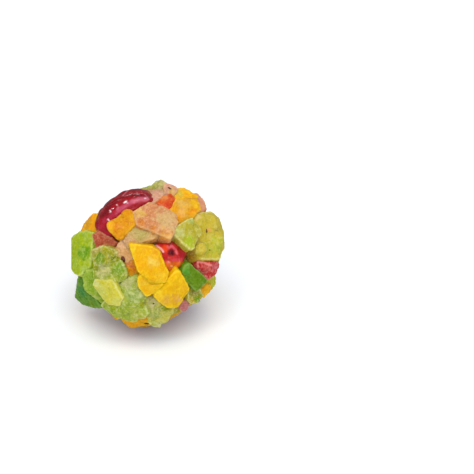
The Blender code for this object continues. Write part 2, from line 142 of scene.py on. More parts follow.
# Fruit kinds. Each is one piece: how its flesh looks, and the colours that its hidden dice take
# edge: how strong the painted highlight along the dice's edges is
kinds = {
    "limeDice": dict(
        colours=[(146, 178, 30), (136, 170, 30), (166, 186, 52)], share=4, soften=3, warp=0.9, dent=1.1,
        light=(198, 212, 110), deepen=(0.70, 0.84, 0.5), patch=0.7, patchSize=1.7, fibre=0.3, grain=0.6,
        rough=0.4, edge=0.9, merge=1.0),
    "mottledDice": dict(
        colours=[(152, 162, 52), (168, 176, 72), (136, 156, 46)], share=5, soften=3, warp=1.15, dent=1.5,
        light=(208, 211, 142), deepen=(0.66, 0.79, 0.44), patch=0.9, patchSize=1.3, fibre=0.3, grain=1.0,
        rough=0.42, edge=0.8, merge=1.0),
    "yellowGreenDice": dict(
        colours=[(194, 182, 54), (182, 182, 56), (202, 196, 70)], share=4, soften=4, warp=0.7, dent=0.8,
        light=(222, 218, 142), deepen=(0.78, 0.82, 0.46), patch=0.5, patchSize=2.0, fibre=0.2, grain=0.7,
        rough=0.44, edge=0.9, merge=0.7),
    "deepGreenDice": dict(
        colours=[(84, 134, 38), (70, 126, 22), (106, 142, 44)], share=3, soften=2, warp=0.4, dent=0.5,
        light=(140, 176, 84), deepen=(0.66, 0.78, 0.5), patch=0.6, patchSize=1.6, fibre=0.3, grain=0.5,
        rough=0.3, edge=0.8, merge=0.0),
    "goldenDice": dict(
        colours=[(244, 184, 2), (238, 176, 6), (246, 192, 10)], share=5, soften=2, warp=0.45, dent=0.5,
        light=(252, 214, 36), deepen=(0.92, 0.76, 0.4), patch=0.5, patchSize=1.8, fibre=0.8, grain=0.5,
        rough=0.42, edge=0.8, merge=0.5),
    "amberDice": dict(
        colours=[(230, 152, 8), (224, 142, 12), (234, 166, 20)], share=4, soften=3, warp=0.7, dent=0.7,
        light=(248, 190, 46), deepen=(0.88, 0.70, 0.4), patch=0.7, patchSize=1.6, fibre=0.6, grain=0.7,
        rough=0.4, edge=0.8, merge=0.4),
    "orangeDice": dict(
        colours=[(222, 90, 28), (212, 108, 24)], share=2, soften=2, warp=0.4, dent=0.5,
        light=(240, 140, 76), deepen=(0.86, 0.66, 0.5), patch=0.5, patchSize=1.6, fibre=0.2, grain=0.5,
        rough=0.34, edge=0.5, merge=0.0),
    "peachDice": dict(
        colours=[(210, 152, 88), (200, 160, 84), (206, 164, 98)], share=3, soften=3, warp=0.6, dent=0.6,
        light=(234, 194, 138), deepen=(0.84, 0.76, 0.56), patch=0.7, patchSize=1.6, fibre=0.3, grain=1.0,
        rough=0.48, edge=0.7, merge=0.8),
    "rosyDice": dict(
        colours=[(176, 92, 56), (216, 140, 104), (176, 98, 80)], share=1, soften=4, warp=0.7, dent=0.8,
        light=(228, 168, 130), deepen=(0.78, 0.70, 0.6), patch=0.5, patchSize=1.6, fibre=0.2, grain=0.7,
        rough=0.42, edge=0.5, merge=0.8),
    "redDice": dict(
        colours=[(192, 46, 34), (180, 38, 30)], share=2, soften=2, warp=0.7, dent=0.9,
        light=(236, 148, 140), deepen=(0.72, 0.5, 0.5), patch=0.8, patchSize=1.0, fibre=0.3, grain=0.8,
        rough=0.22, edge=0.8, merge=0.0),
}

# Dice that show in front, from the top down: corners (across, up) in mm, lift above the ball and depth in mm.
# crown: (across, up, rise) points that stand up from the outer face. knobs: (across, up, rise, radius) lobes.
# blots: (across, up, reach, colour) on the flesh; a fifth number says how far one lies under the face.
# fibres: their lie in degrees, as seen from the eye
frontDice = {
    "greenTop": dict(
        kind="mottledDice", colour=(174, 166, 72), lift=-0.8, depth=7,
        corners=[(0.2, 19.2), (2.6, 21.3), (3.9, 21.5), (5.3, 20.4), (5.6, 17.6), (3.2, 16.0)],
        blots=[(2.2, 17.6, 2.0, (138, 164, 20)), (4.8, 19.8, 2.2, (196, 178, 112))]),
    "tanTop": dict(
        kind="peachDice", colour=(226, 166, 140), lift=0.4, depth=6,
        corners=[(4.9, 20.8), (8.2, 19.6), (8.5, 18.4), (6.5, 16.6), (4.6, 17.4)],
        blots=[(7.2, 17.6, 1.8, (232, 180, 110)), (3.0, 17.0, 3.0, (170, 164, 66), 4.0)]),
    "orangeTop": dict(
        kind="orangeDice", colour=(218, 74, 16), lift=0.2, depth=6,
        corners=[(2.6, 15.0), (4.6, 16.9), (6.6, 17.5), (8.1, 15.9), (6.1, 12.8), (4.0, 13.4)],
        crown=[(5.6, 16.6, 0.3), (7.4, 15.9, 0.4), (6.0, 14.2, 0.5)],
        blots=[(3.4, 15.4, 1.5, (226, 94, 16)), (4.2, 16.7, 1.4, (228, 140, 72)),
               (5.6, 13.6, 1.4, (226, 75, 42))]),
    "amberTop": dict(
        kind="goldenDice", colour=(254, 186, 4), lift=0.2, depth=7, fibres=35,
        corners=[(6.9, 17.6), (8.7, 19.0), (10.4, 19.2), (14.4, 16.8), (12.5, 15.3), (8.2, 15.4)],
        crown=[(9.6, 18.2, 0.3), (12.8, 16.6, 0.4)],
        blots=[(8.6, 17.4, 1.6, (222, 190, 60))]),
    "amberRight": dict(
        kind="amberDice", colour=(230, 170, 36), lift=0.4, depth=7, fibres=62,
        corners=[(6.4, 12.8), (8.0, 15.9), (14.2, 16.6), (14.9, 13.6), (12.8, 10.6), (8.5, 9.0)],
        crown=[(11.0, 13.4, 0.9), (13.9, 16.0, 0.6), (9.4, 11.2, 0.4)],
        blots=[(13.8, 14.6, 1.8, (250, 196, 2)), (12.6, 12.0, 1.5, (246, 158, 0)),
               (9.8, 14.4, 2.2, (230, 182, 84)), (9.4, 11.8, 1.4, (240, 184, 96)),
               (8.7, 10.2, 1.2, (242, 156, 6)), (7.2, 13.0, 1.4, (238, 158, 12))]),
    "pinkRight": dict(
        kind="rosyDice", colour=(232, 164, 126), lift=-0.8, depth=5,
        corners=[(13.0, 17.6), (14.3, 17.6), (15.9, 15.8), (16.9, 13.2), (14.2, 11.8)]),
    "peachSlab": dict(
        kind="peachDice", colour=(216, 142, 94), lift=1.0, depth=6,
        corners=[(-4.2, 12.3), (0.4, 14.5), (4.2, 13.8), (8.0, 11.4), (8.3, 8.8), (6.2, 4.8), (-3.2, 8.8)],
        crown=[(-3.6, 11.8, 0.3), (0.3, 14.7, 0.5), (4.0, 13.4, 0.6), (7.6, 11.0, 0.5), (7.7, 8.8, 0.5),
               (5.2, 6.9, 0.9), (1.2, 8.8, 1.0), (-2.6, 10.8, 0.7)],
        blots=[(5.4, 9.8, 3.2, (218, 178, 120)), (-2.6, 12.0, 1.7, (226, 176, 90)),
               (-2.0, 8.9, 1.2, (216, 128, 44)), (1.2, 7.0, 1.3, (224, 138, 52)),
               (4.8, 5.2, 1.8, (230, 166, 66))]),
    "amberLeft": dict(
        kind="amberDice", colour=(227, 153, 8), lift=0.8, depth=6, fibres=40,
        corners=[(-11.5, 7.6), (-10.7, 9.5), (-6.1, 12.3), (-4.7, 12.0), (-3.6, 9.4), (-7.2, 5.3),
                 (-9.2, 5.4)],
        crown=[(-8.4, 8.0, 0.7), (-5.8, 10.8, 0.6)],
        knobs=[(-10.3, 8.2, 0.0, 1.3), (-6.0, 11.4, 0.0, 1.4), (-8.2, 5.9, 0.0, 1.3)],
        blots=[(-10.9, 7.4, 1.8, (246, 184, 24)), (-8.6, 7.6, 1.3, (236, 148, 44)),
               (-4.6, 10.8, 1.5, (238, 172, 20))]),
    "oliveMiddle": dict(
        kind="peachDice", colour=(200, 168, 106), lift=-0.8, depth=4,
        corners=[(-7.6, 5.0), (-5.0, 8.8), (-2.0, 9.0), (4.0, 5.9), (-0.2, 3.9), (-5.5, 2.0)],
        blots=[(-2.2, 6.6, 3.0, (196, 182, 102)), (2.6, 4.8, 2.0, (222, 172, 96)),
               (-5.6, 3.4, 1.8, (216, 166, 118))]),
    "tanMiddle": dict(
        kind="peachDice", colour=(214, 164, 106), lift=-1.2, depth=6,
        corners=[(-9.6, 1.2), (-7.2, 4.9), (-4.6, 4.9), (-4.2, -0.6), (-6.2, -2.4), (-8.2, -0.6)],
        blots=[(-7.6, 3.8, 2.0, (220, 170, 128))]),
    "orangeMiddle": dict(
        kind="amberDice", colour=(232, 148, 8), lift=-1.8, depth=6,
        corners=[(-6.8, -2.2), (-4.4, -0.8), (-1.6, -6.2), (-4.4, -6.8), (-6.4, -5.6)],
        blots=[(-5.6, -2.4, 1.4, (214, 130, 84)), (-3.0, -5.4, 1.6, (226, 140, 10))]),
    "amberFarLeft": dict(
        kind="amberDice", colour=(252, 170, 4), lift=-0.8, depth=6, fibres=70,
        corners=[(-19.4, 6.8), (-18.3, 9.0), (-16.0, 11.7), (-14.6, 11.7), (-14.0, 7.0), (-16.5, 5.6)],
        blots=[(-17.4, 8.6, 1.8, (214, 158, 40))]),
    "rosyLeft": dict(
        kind="rosyDice", colour=(182, 78, 50), lift=-1.4, depth=6,
        corners=[(-15.9, 5.6), (-14.4, 7.0), (-12.2, 5.9), (-9.0, 3.5), (-10.8, 1.6), (-14.6, 1.2)]),
    "limeLeft": dict(
        kind="limeDice", colour=(171, 190, 4), lift=0.0, depth=8,
        corners=[(-22.0, 4.8), (-19.6, 6.6), (-15.8, 6.2), (-16.6, -3.2), (-19.8, -6.2), (-22.4, -3.8)],
        crown=[(-19.4, 3.0, 0.4), (-19.0, -2.6, 0.5)],
        blots=[(-18.0, 0.6, 2.1, (112, 162, 16)), (-17.6, 6.0, 1.8, (160, 184, 50)),
               (-18.4, -4.8, 1.6, (178, 200, 90)), (-21.2, -2.0, 1.8, (168, 196, 34))]),
    "greenLeft": dict(
        kind="mottledDice", colour=(177, 168, 8), lift=-0.4, depth=7,
        corners=[(-16.4, 1.2), (-12.6, 2.4), (-9.0, 1.3), (-7.8, -1.6), (-10.4, -3.6), (-15.0, -4.4)],
        blots=[(-14.6, 1.4, 1.7, (196, 176, 96)), (-13.6, -1.2, 1.6, (126, 158, 16)),
               (-9.4, -0.8, 1.6, (148, 150, 20))]),
    "greenLowerLeft": dict(
        kind="mottledDice", colour=(152, 166, 38), lift=-0.2, depth=7,
        corners=[(-15.4, -3.4), (-7.6, -1.8), (-6.3, -6.2), (-6.8, -7.8), (-11.0, -7.6), (-15.6, -6.6)],
        blots=[(-12.6, -4.2, 2.2, (206, 194, 128)), (-8.4, -4.0, 1.9, (134, 168, 36)),
               (-10.0, -6.8, 1.6, (172, 178, 54))]),
    "greenStrip": dict(
        kind="limeDice", colour=(146, 178, 34), lift=-0.6, depth=6,
        corners=[(-18.7, -6.2), (-17.6, -4.5), (-15.0, -4.2), (-12.2, -14.1), (-13.9, -13.5), (-18.2, -10.0)],
        blots=[(-18.4, -8.0, 1.4, (190, 204, 92)), (-15.0, -12.8, 1.6, (178, 190, 88))]),
    "lemonSlab": dict(
        kind="yellowGreenDice", colour=(212, 202, 62), lift=1.2, depth=5,
        corners=[(-15.8, -8.9), (-15.1, -7.2), (-10.3, -7.5), (-7.2, -12.8), (-8.4, -14.6), (-11.5, -14.3)],
        crown=[(-14.6, -8.6, 0.4), (-10.8, -8.0, 0.4), (-8.2, -12.4, 0.4), (-11.4, -13.4, 0.4)],
        blots=[(-15.4, -8.2, 1.6, (220, 216, 138)), (-13.2, -10.4, 1.6, (206, 206, 92)),
               (-9.0, -13.6, 1.5, (212, 210, 96))]),
    "deepGreenLeft": dict(
        kind="deepGreenDice", colour=(102, 148, 48), lift=-0.8, depth=7,
        corners=[(-20.2, -7.0), (-18.8, -6.2), (-13.6, -15.2), (-14.8, -15.4), (-18.8, -14.3),
                 (-20.9, -12.3)],
        blots=[(-15.6, -14.6, 1.8, (122, 150, 40)), (-18.6, -10.4, 1.8, (74, 140, 72))]),
    "greenBase": dict(
        kind="mottledDice", colour=(160, 176, 46), lift=0.2, depth=8,
        corners=[(-6.5, -7.3), (-3.6, -6.6), (-0.9, -12.0), (-0.4, -17.3), (-4.6, -19.5), (-9.0, -18.3),
                 (-13.4, -14.9)],
        crown=[(-4.6, -10.6, 0.7), (-7.2, -14.6, 0.5)],
        blots=[(-5.6, -8.4, 1.7, (196, 190, 126)), (-4.0, -11.6, 2.4, (182, 194, 112)),
               (-9.6, -15.6, 1.9, (156, 172, 8)), (-3.4, -17.2, 2.2, (186, 186, 78)),
               (-1.0, -14.0, 1.3, (166, 166, 22)), (-11.0, -16.6, 1.0, (196, 208, 120))]),
    "amberBase": dict(
        kind="goldenDice", colour=(249, 177, 20), lift=-1.5, depth=6,
        corners=[(-7.6, -18.6), (-5.2, -21.0), (-3.9, -21.0), (0.0, -19.8), (-0.4, -17.4), (-5.0, -17.2)]),
    "paleWedge": dict(
        kind="mottledDice", colour=(200, 188, 78), lift=0.4, depth=7,
        corners=[(-0.6, -12.2), (2.4, -12.4), (7.3, -15.7), (5.2, -19.2), (3.5, -21.0), (2.2, -21.0),
                 (0.2, -19.6)],
        crown=[(2.2, -15.6, 0.6)],
        blots=[(3.0, -20.8, 1.7, (216, 208, 148)), (1.4, -13.4, 1.8, (196, 184, 124)),
               (4.8, -14.8, 1.7, (162, 164, 24)), (2.0, -17.0, 1.8, (174, 178, 92))]),
    "goldenWedge": dict(
        kind="goldenDice", colour=(246, 186, 2), lift=1.6, depth=7, fibres=70,
        corners=[(-5.3, 3.1), (1.4, 2.0), (3.0, 1.0), (5.8, -5.4), (5.0, -8.0), (1.2, -8.4), (-2.8, -4.6)],
        crown=[(-1.4, 0.6, 0.3), (1.6, -1.6, 0.8), (2.6, -5.4, 0.6)],
        blots=[(-4.6, 2.2, 1.6, (252, 214, 40)), (1.4, -2.0, 1.6, (252, 214, 88)),
               (-2.2, -2.6, 1.7, (250, 184, 4)), (3.8, -6.6, 1.6, (246, 196, 40)),
               (2.4, 1.2, 1.3, (240, 170, 24))]),
    "goldenLobe": dict(
        kind="goldenDice", colour=(248, 188, 4), lift=1.0, depth=6, fibres=50,
        corners=[(-2.9, -7.2), (-1.8, -5.8), (4.2, -8.4), (2.0, -10.9), (-0.4, -11.9), (-2.6, -9.4)],
        crown=[(-0.6, -8.8, 0.5)],
        blots=[(-1.4, -8.0, 1.4, (238, 190, 44)), (1.4, -9.6, 1.3, (250, 196, 30))]),
    "yellowRight": dict(
        kind="goldenDice", colour=(244, 192, 2), lift=1.4, depth=7, fibres=48,
        corners=[(2.2, -12.4), (2.1, -10.8), (8.3, -4.8), (9.2, -5.2), (11.9, -10.3), (8.7, -15.1),
                 (6.0, -15.5)],
        crown=[(8.6, -6.0, 0.3), (5.0, -10.8, 0.5), (9.4, -11.6, 0.6), (4.2, -12.2, 0.5)],
        blots=[(8.0, -13.0, 1.6, (234, 172, 64)), (5.4, -12.8, 1.5, (236, 184, 66)),
               (9.4, -13.4, 1.1, (242, 190, 116)), (3.0, -11.4, 1.5, (250, 208, 40)),
               (10.6, -9.8, 1.5, (244, 186, 16))]),
    "deepGreenRight": dict(
        kind="deepGreenDice", colour=(99, 136, 0), lift=0.2, depth=7, fibres=-40,
        corners=[(10.0, -5.2), (10.6, -3.3), (11.9, -2.7), (17.1, -7.5), (14.0, -10.5), (11.2, -7.8)],
        crown=[(11.6, -5.0, 0.3), (14.8, -8.0, 0.3)],
        blots=[(13.6, -8.8, 1.7, (112, 146, 18)), (10.8, -4.8, 1.2, (88, 164, 44))]),
    "oliveRight": dict(
        kind="mottledDice", colour=(174, 161, 8), lift=0.0, depth=7,
        corners=[(11.6, -12.9), (12.2, -8.6), (14.0, -9.5), (15.6, -11.4), (14.4, -13.8), (12.8, -14.2)],
        blots=[(12.6, -13.4, 1.2, (226, 178, 60)), (14.0, -12.6, 1.2, (120, 160, 30)),
               (13.4, -10.6, 1.2, (160, 144, 60))]),
    "redRight": dict(
        kind="redDice", colour=(200, 46, 38), lift=-0.2, depth=7,
        corners=[(14.5, -1.8), (19.9, -1.5), (20.4, -2.8), (19.4, -5.4), (17.7, -7.2), (14.4, -4.0)],
        crown=[(17.6, -3.0, 0.9), (16.2, -2.8, 0.7)],
        blots=[(18.9, -3.2, 1.5, (206, 104, 110)), (16.8, -4.0, 1.3, (210, 96, 84)),
               (14.8, -2.4, 1.2, (190, 30, 14))]),
    "limeRight": dict(
        kind="yellowGreenDice", colour=(206, 184, 50), lift=0.3, depth=8,
        corners=[(13.7, 11.8), (18.3, 12.3), (21.0, 10.6), (22.6, 2.8), (20.3, -1.4), (15.4, -1.2),
                 (13.5, 1.2)],
        crown=[(18.0, 9.0, 0.6), (18.6, 2.0, 0.5)],
        knobs=[(14.9, 1.4, 0.0, 1.7), (20.4, 4.6, -1.6, 2.6), (19.0, 9.2, -1.8, 2.8)],
        blots=[(20.2, 2.0, 2.8, (190, 194, 44)), (17.0, 1.6, 1.8, (184, 182, 44)),
               (14.4, 11.0, 1.1, (222, 194, 104)), (17.0, 7.0, 0.8, (224, 160, 70)),
               (14.8, 1.6, 1.2, (222, 216, 152)), (12.9, -0.2, 2.0, (188, 132, 8), 2.6),
               (21.4, 8.4, 1.3, (212, 206, 120))]),
    "paleGreenRight": dict(
        kind="yellowGreenDice", colour=(189, 176, 46), lift=1.0, depth=6,
        corners=[(7.5, 5.9), (8.3, 8.0), (12.8, 10.6), (15.4, 7.0), (13.2, 2.1), (11.8, 1.9)],
        crown=[(11.6, 8.0, 0.3)],
        blots=[(8.6, 6.4, 1.7, (204, 200, 118)), (12.4, 9.8, 1.0, (184, 206, 130)),
               (11.8, 3.6, 1.5, (180, 196, 36))]),
    "oliveFarRight": dict(
        kind="yellowGreenDice", colour=(190, 192, 40), lift=-0.9, depth=6,
        corners=[(16.4, -7.2), (19.1, -5.5), (19.6, -7.4), (18.9, -9.5), (17.4, -11.2), (15.8, -9.5)]),
    "orangeRight": dict(
        kind="amberDice", colour=(250, 184, 20), lift=-0.6, depth=6,
        corners=[(14.8, -11.6), (16.8, -8.8), (18.0, -9.1), (17.8, -10.8), (16.4, -12.2)]),
    "pinkBase": dict(
        kind="rosyDice", colour=(202, 126, 125), lift=-0.8, depth=5,
        corners=[(8.6, -14.8), (11.0, -12.8), (12.1, -13.8), (11.1, -15.9), (9.8, -16.2)]),
}

# The ball's outline as the eye sees it: corners (across, up) in mm, clockwise from the top
outline = [
    (3.7, 21.2), (8.2, 19.2), (14.6, 16.9), (16.3, 13.2), (20.3, 11.6), (22.0, 6.2), (22.1, 2.6),
    (19.6, -4.0), (18.9, -8.0), (17.0, -11.4), (10.8, -15.2), (5.2, -18.6), (3.2, -21.0), (-5.0, -20.6),
    (-12.0, -16.2), (-19.0, -13.8), (-20.6, -11.4), (-19.8, -6.6), (-22.2, -2.8), (-21.8, 4.8),
    (-15.0, 11.0), (-10.2, 15.5), (-6.2, 18.3), (-0.4, 18.4),
]

# folds: (lie round the long axis, width, depth in mm, drift along the cherry), the others in degrees.
# bands of painted shade and painted sheen: (lie, width, drift, strength, colour), darker along the outline or
# pinkish where the skin would reflect light.
# streaks: (corners (across, up) in mm, width in mm, strength, colour) on the side that faces the eye: painted
# highlights and glints, a painted pink reflection band and painted shade lines, with some of the skin's own
# spots
# deep: the colour put in folds and creases, painted shade. pit: the colour in the pit's hollow, painted shade
cherries = {
    "cherry_upper_left": dict(
        centre=(-6.1, 10.6, 10.6), halves=(9.9, 6.8, 6.8), turn=38.0, tip=-115.0, wrinkle=0.015,
        skin=(158, 0, 18), deep=(100, 0, 12), pit=(96, 0, 14),
        folds=[(196, 9, -0.6, 19), (216, 9, 0.35, 19), (240, 12, -0.3, 12), (158, 14, -0.2, 14)],
        # dark band along the upper outline: painted shade
        shadeAndSheenBands=[(118, 18, 0, 0.7, (90, 0, 14))],
        streaksAndPaintedLight=[
            # dark line along the upper outline: painted shade
            ([(-13.3, 10.9), (-11.6, 13.7), (-7.6, 16.6), (-4.2, 17.4), (0.2, 16.9)], 0.6, 0.6, (104, 0, 14)),
            # pink band below the ridge: painted reflection
            ([(-12.6, 9.8), (-10.5, 11.2), (-8.5, 12.8)], 0.8, 0.4, (190, 50, 84)),
            ([(-8.5, 12.8), (-6.6, 14.1), (-4.4, 15.4)], 0.7, 0.55, (206, 88, 116)),
            ([(-4.4, 15.4), (-2.0, 16.1), (-0.4, 16.1)], 0.7, 0.65, (216, 108, 130)),
            ([(-5.4, 13.2), (-1.6, 14.8)], 0.5, 0.5, (140, 4, 26)),
            ([(-13.4, 7.4), (-11.6, 5.2)], 1.6, 0.5, (186, 26, 58)),
            ([(-7.4, 17.0), (-5.6, 18.8)], 0.15, 0.6, (218, 120, 130)),
            # white glints on the ridge: painted highlights
            ([(-6.8, 15.1), (-6.3, 15.4)], 0.24, 1.0, (255, 244, 248)),
            ([(-6.0, 15.1), (-5.7, 14.8)], 0.14, 0.9, (244, 196, 208)),
            ([(-10.95, 12.8), (-10.85, 12.3)], 0.2, 1.0, (255, 244, 248)),
            ([(-11.6, 10.2), (-11.3, 9.9)], 0.2, 0.9, (255, 232, 238)),
            ([(-9.1, 14.4), (-9.0, 14.3)], 0.16, 0.8, (250, 220, 226)),
            ([(-1.0, 16.3), (-0.7, 16.3)], 0.18, 0.8, (250, 214, 220)),
        ]),
    "cherry_middle_right": dict(
        centre=(5.2, -0.5, 15.2), halves=(5.3, 5.9, 5.2), turn=-50.0, tip=-22.0, wrinkle=0.055,
        skin=(194, 30, 28), deep=(140, 6, 24), pit=(96, 0, 24),
        folds=[(60, 10, 0.5, 20), (118, 9, 0.45, -20), (90, 7, -0.3, 60)],
        shadeAndSheenBands=[],
        streaksAndPaintedLight=[
            ([(3.4, 4.0), (8.2, 3.5)], 0.9, 0.7, (146, 8, 28)),
            ([(9.6, 2.4), (10.3, -0.6)], 1.0, 0.7, (150, 10, 32)),
            ([(5.4, -3.6), (9.0, -3.2)], 1.5, 0.9, (226, 112, 20)),
            ([(7.2, -1.6), (9.6, -1.4)], 0.5, 0.6, (210, 66, 84)),
            ([(4.8, 2.0), (5.3, 1.5)], 0.9, 0.9, (232, 66, 16)),
            # pink arcs round the pit, a highlight line and a glint: painted highlights
            ([(6.0, 2.0), (7.0, 2.4), (8.1, 1.4), (8.4, 0.3)], 0.35, 0.7, (222, 100, 114)),
            ([(1.4, 2.7), (2.5, 2.6), (3.8, 1.6), (4.4, 0.8)], 0.3, 0.9, (250, 184, 180)),
            ([(6.7, -3.3), (6.9, -3.4)], 0.25, 0.8, (250, 196, 140)),
        ]),
    "cherry_back_upper": dict(
        centre=(9.2, 6.7, -11.9), halves=(8.6, 7.4, 6.8), turn=-35.0, tip=150.0, wrinkle=0.03,
        skin=(164, 2, 20), deep=(104, 0, 12), pit=(90, 0, 12),
        folds=[(70, 10, 0.5, 20), (112, 9, -0.5, -14), (30, 10, -0.4, 10)],
        # pinkish and lighter red bands: painted sheen, as a reflection
        shadeAndSheenBands=[(92, 7, 10, 0.4, (208, 92, 112)), (200, 24, 0, 0.4, (180, 24, 44))],
        streaksAndPaintedLight=[]),
    "cherry_back_lower": dict(
        centre=(-9.0, -5.0, -12.5), halves=(6.8, 6.0, 5.8), turn=60.0, tip=200.0, wrinkle=0.03,
        skin=(168, 8, 16), deep=(104, 2, 12), pit=(80, 0, 10),
        folds=[(80, 12, 0.4, -18), (130, 11, 0.3, 12)],
        # pinkish band: painted sheen, as a reflection
        shadeAndSheenBands=[(60, 14, 10, 0.5, (206, 88, 100))],
        streaksAndPaintedLight=[]),
}

# How the dice are cut. They widen inwards, so that they close up against each other
cut = {
    "faceTurnToEye": 0.35,
    "unevenness": 0.35 * mm,
    "hiddenUnevenness": 0.6 * mm,
    "innerScale": 1.02,
    "steepestMiddle": 0.2,
}
hiddenSide = {
    "spreadCount": 118,
    "spreadStray": 0.09,
    "limit": 0.5,
    "roomToNeighbour": math.radians(13.0),
    "neighbourReach": math.radians(60.0),
    "siteWidth": 8.0 * mm,
    "weight": (0.8, 1.3),
    "overlap": 1.1,
    "lean": 0.32,
    "lift": (-2.3 * mm, 0.3 * mm),
    "rimLimit": -0.12,
    "rimLift": (-2.4 * mm, -1.4 * mm),
    "rimLean": 0.12,
    "depth": 6.5 * mm,
    "outlineMargin": 0.97,
    "shortestSide": 1.6 * mm,
    "footReach": math.cos(math.radians(24.0)),
    "footLift": 0.5 * mm,
    "cherryShare": 2.0,
    "blendLimit": -0.15,  # nearer the eye than this, a dice matches the front dice beside it
    "unmatched": ("rosyDice", "redDice"),
    "raised": (0.3 * mm, 1.3 * mm),
    "raisedShare": (0.2, 0.6),
    "blots": 3,
    "blotShare": (0.3, 1.0),
    "blotReach": (1.4 * mm, 3.0 * mm),
}

# Smaller dice that lie on the others, on the sides away from the eye
looseSide = {
    "spreadCount": 84,
    "stray": 0.12,
    "turn": 1.0,
    "limit": -0.1,
    "roomToNeighbour": math.radians(15.0),
    "corners": (4, 6),
    "cornerStray": 0.2,
    "reach": (2.2 * mm, 3.4 * mm),
    "stretch": (1.0, 1.5),
    "lift": (-0.1 * mm, 0.8 * mm),
    "depth": 3.6 * mm,
    "keptShare": 0.55,
}


# Where the dice lie

def frontMiddle(dice):
    corners = dice["corners"]
    acrossBy = sum(x for x, _ in corners) / len(corners) * mm
    upBy = sum(y for _, y in corners) / len(corners) * mm
    reach = ball["radius"] + dice["lift"] * mm
    towards = math.sqrt(max(reach**2 - acrossBy**2 - upBy**2, (cut["steepestMiddle"] * reach) ** 2))
    return seenFromEye(acrossBy, upBy, towards)


def heldToBall(corner):
    offset = corner - ball["centre"]
    towards = offset.dot(towardsEye)
    beside = offset - towards * towardsEye
    highest = math.sqrt(max(ball["highestCorner"] ** 2 - beside.length_squared, 0.0))
    return ball["centre"] + beside + min(towards, highest) * towardsEye


def withinBall(offset):
    return ball["centre"] + offset * min(1.0, ball["highestCorner"] / offset.length)


def outlineReach(heading):
    for start, end in zip(outline, outline[1:] + outline[:1]):
        start = Vector(start)
        side = Vector(end) - start
        turn = side.cross(heading)
        if turn == 0.0:
            continue
        share = -start.cross(heading) / turn
        crossing = start + side * share
        if 0.0 <= share <= 1.0 and crossing.dot(heading) > 0.0:
            return crossing.length * mm
    return ball["radius"]


def heldInOutline(corner):  # drawn in towards the line of sight where the eye would see it past the outline
    offset = corner - ball["centre"]
    towards = offset.dot(towardsEye)
    shownLarger = eye["distance"] / (eye["distance"] - towards)
    shown = Vector((offset.dot(across), offset.dot(up))) * shownLarger
    if shown.length == 0.0:
        return corner
    limit = outlineReach(shown.normalized()) * hiddenSide["outlineMargin"]
    drawnIn = min(1.0, limit / shown.length) / shownLarger
    return seenFromEye(shown.x * drawnIn, shown.y * drawnIn, towards)


def dicePoints(outer, outward, depth):
    middle = sum(outer, Vector()) / len(outer)
    inner = [middle + (corner - middle) * cut["innerScale"] - outward * depth for corner in outer]
    return outer + inner


def frontPoints(dice, draw):
    middle = frontMiddle(dice)
    outward = (middle - ball["centre"]).normalized()
    faceNormal = outward.lerp(towardsEye, cut["faceTurnToEye"]).normalized()

    def onFace(x, y, rise=0.0):
        return onSightLine(x * mm, y * mm, middle, faceNormal) + outward * rise * mm

    outer = []
    for x, y in dice["corners"]:
        corner = heldToBall(onFace(x, y))
        outer.append(corner - towardsEye * draw.uniform(-1.0, 1.0) * cut["unevenness"])
    points = dicePoints(outer, outward, dice["depth"] * mm)
    points += [heldToBall(onFace(x, y, rise)) for x, y, rise in dice.get("crown", [])]
    knobs = [(onFace(x, y, rise), radius * mm) for x, y, rise, radius in dice.get("knobs", [])]
    blots = []
    for x, y, reach, colour, *sunk in dice.get("blots", []):
        blots.append((onFace(x, y) - towardsEye * sum(sunk) * mm, reach * mm, colour))
    lie = math.radians(dice.get("fibres", 50.0))
    along = math.cos(lie) * across + math.sin(lie) * up
    return dict(points=points, middle=middle, outward=outward, knobs=knobs, blots=blots, along=along)


def shownSites():
    for dice in frontDice.values():
        width = max(x for x, _ in dice["corners"]) - min(x for x, _ in dice["corners"])
        height = max(y for _, y in dice["corners"]) - min(y for _, y in dice["corners"])
        weight = math.sqrt(width * height) * mm / hiddenSide["siteWidth"]
        yield (frontMiddle(dice) - ball["centre"]).normalized(), weight
    for form in cherries.values():
        centre = seenFromEye(*(value * mm for value in form["centre"]))
        weight = hiddenSide["cherryShare"] * form["halves"][1] * mm / hiddenSide["siteWidth"]
        yield (centre - ball["centre"]).normalized(), weight


def spreadDirections(count, firstTurn, stray, draw):  # by the golden angle, each a little astray
    goldenAngle = math.pi * (3.0 - math.sqrt(5.0))
    for index in range(count):
        height = 1.0 - 2.0 * (index + 0.5) / count
        ring = math.sqrt(1.0 - height * height)
        turn = goldenAngle * index + firstTurn
        aside = Vector([draw.uniform(-1.0, 1.0) * stray for _ in range(3)])
        yield (Vector((ring * math.cos(turn), ring * math.sin(turn), height)) + aside).normalized()


def hiddenSites(shown, draw):
    for direction in spreadDirections(hiddenSide["spreadCount"], 0.0, hiddenSide["spreadStray"], draw):
        weight = draw.uniform(*hiddenSide["weight"])
        nearest = min(direction.angle(other) / share for other, share in shown)
        if direction.dot(towardsEye) < hiddenSide["limit"] and nearest > hiddenSide["roomToNeighbour"]:
            yield direction, weight


def clipCorners(corners, normal, limit):
    kept = []
    for start, end in zip(corners, corners[1:] + corners[:1]):
        startPast = start.dot(normal) - limit
        endPast = end.dot(normal) - limit
        if startPast <= 0.0:
            kept.append(start)
        if startPast * endPast < 0.0:
            kept.append(start.lerp(end, startPast / (startPast - endPast)))
    return kept


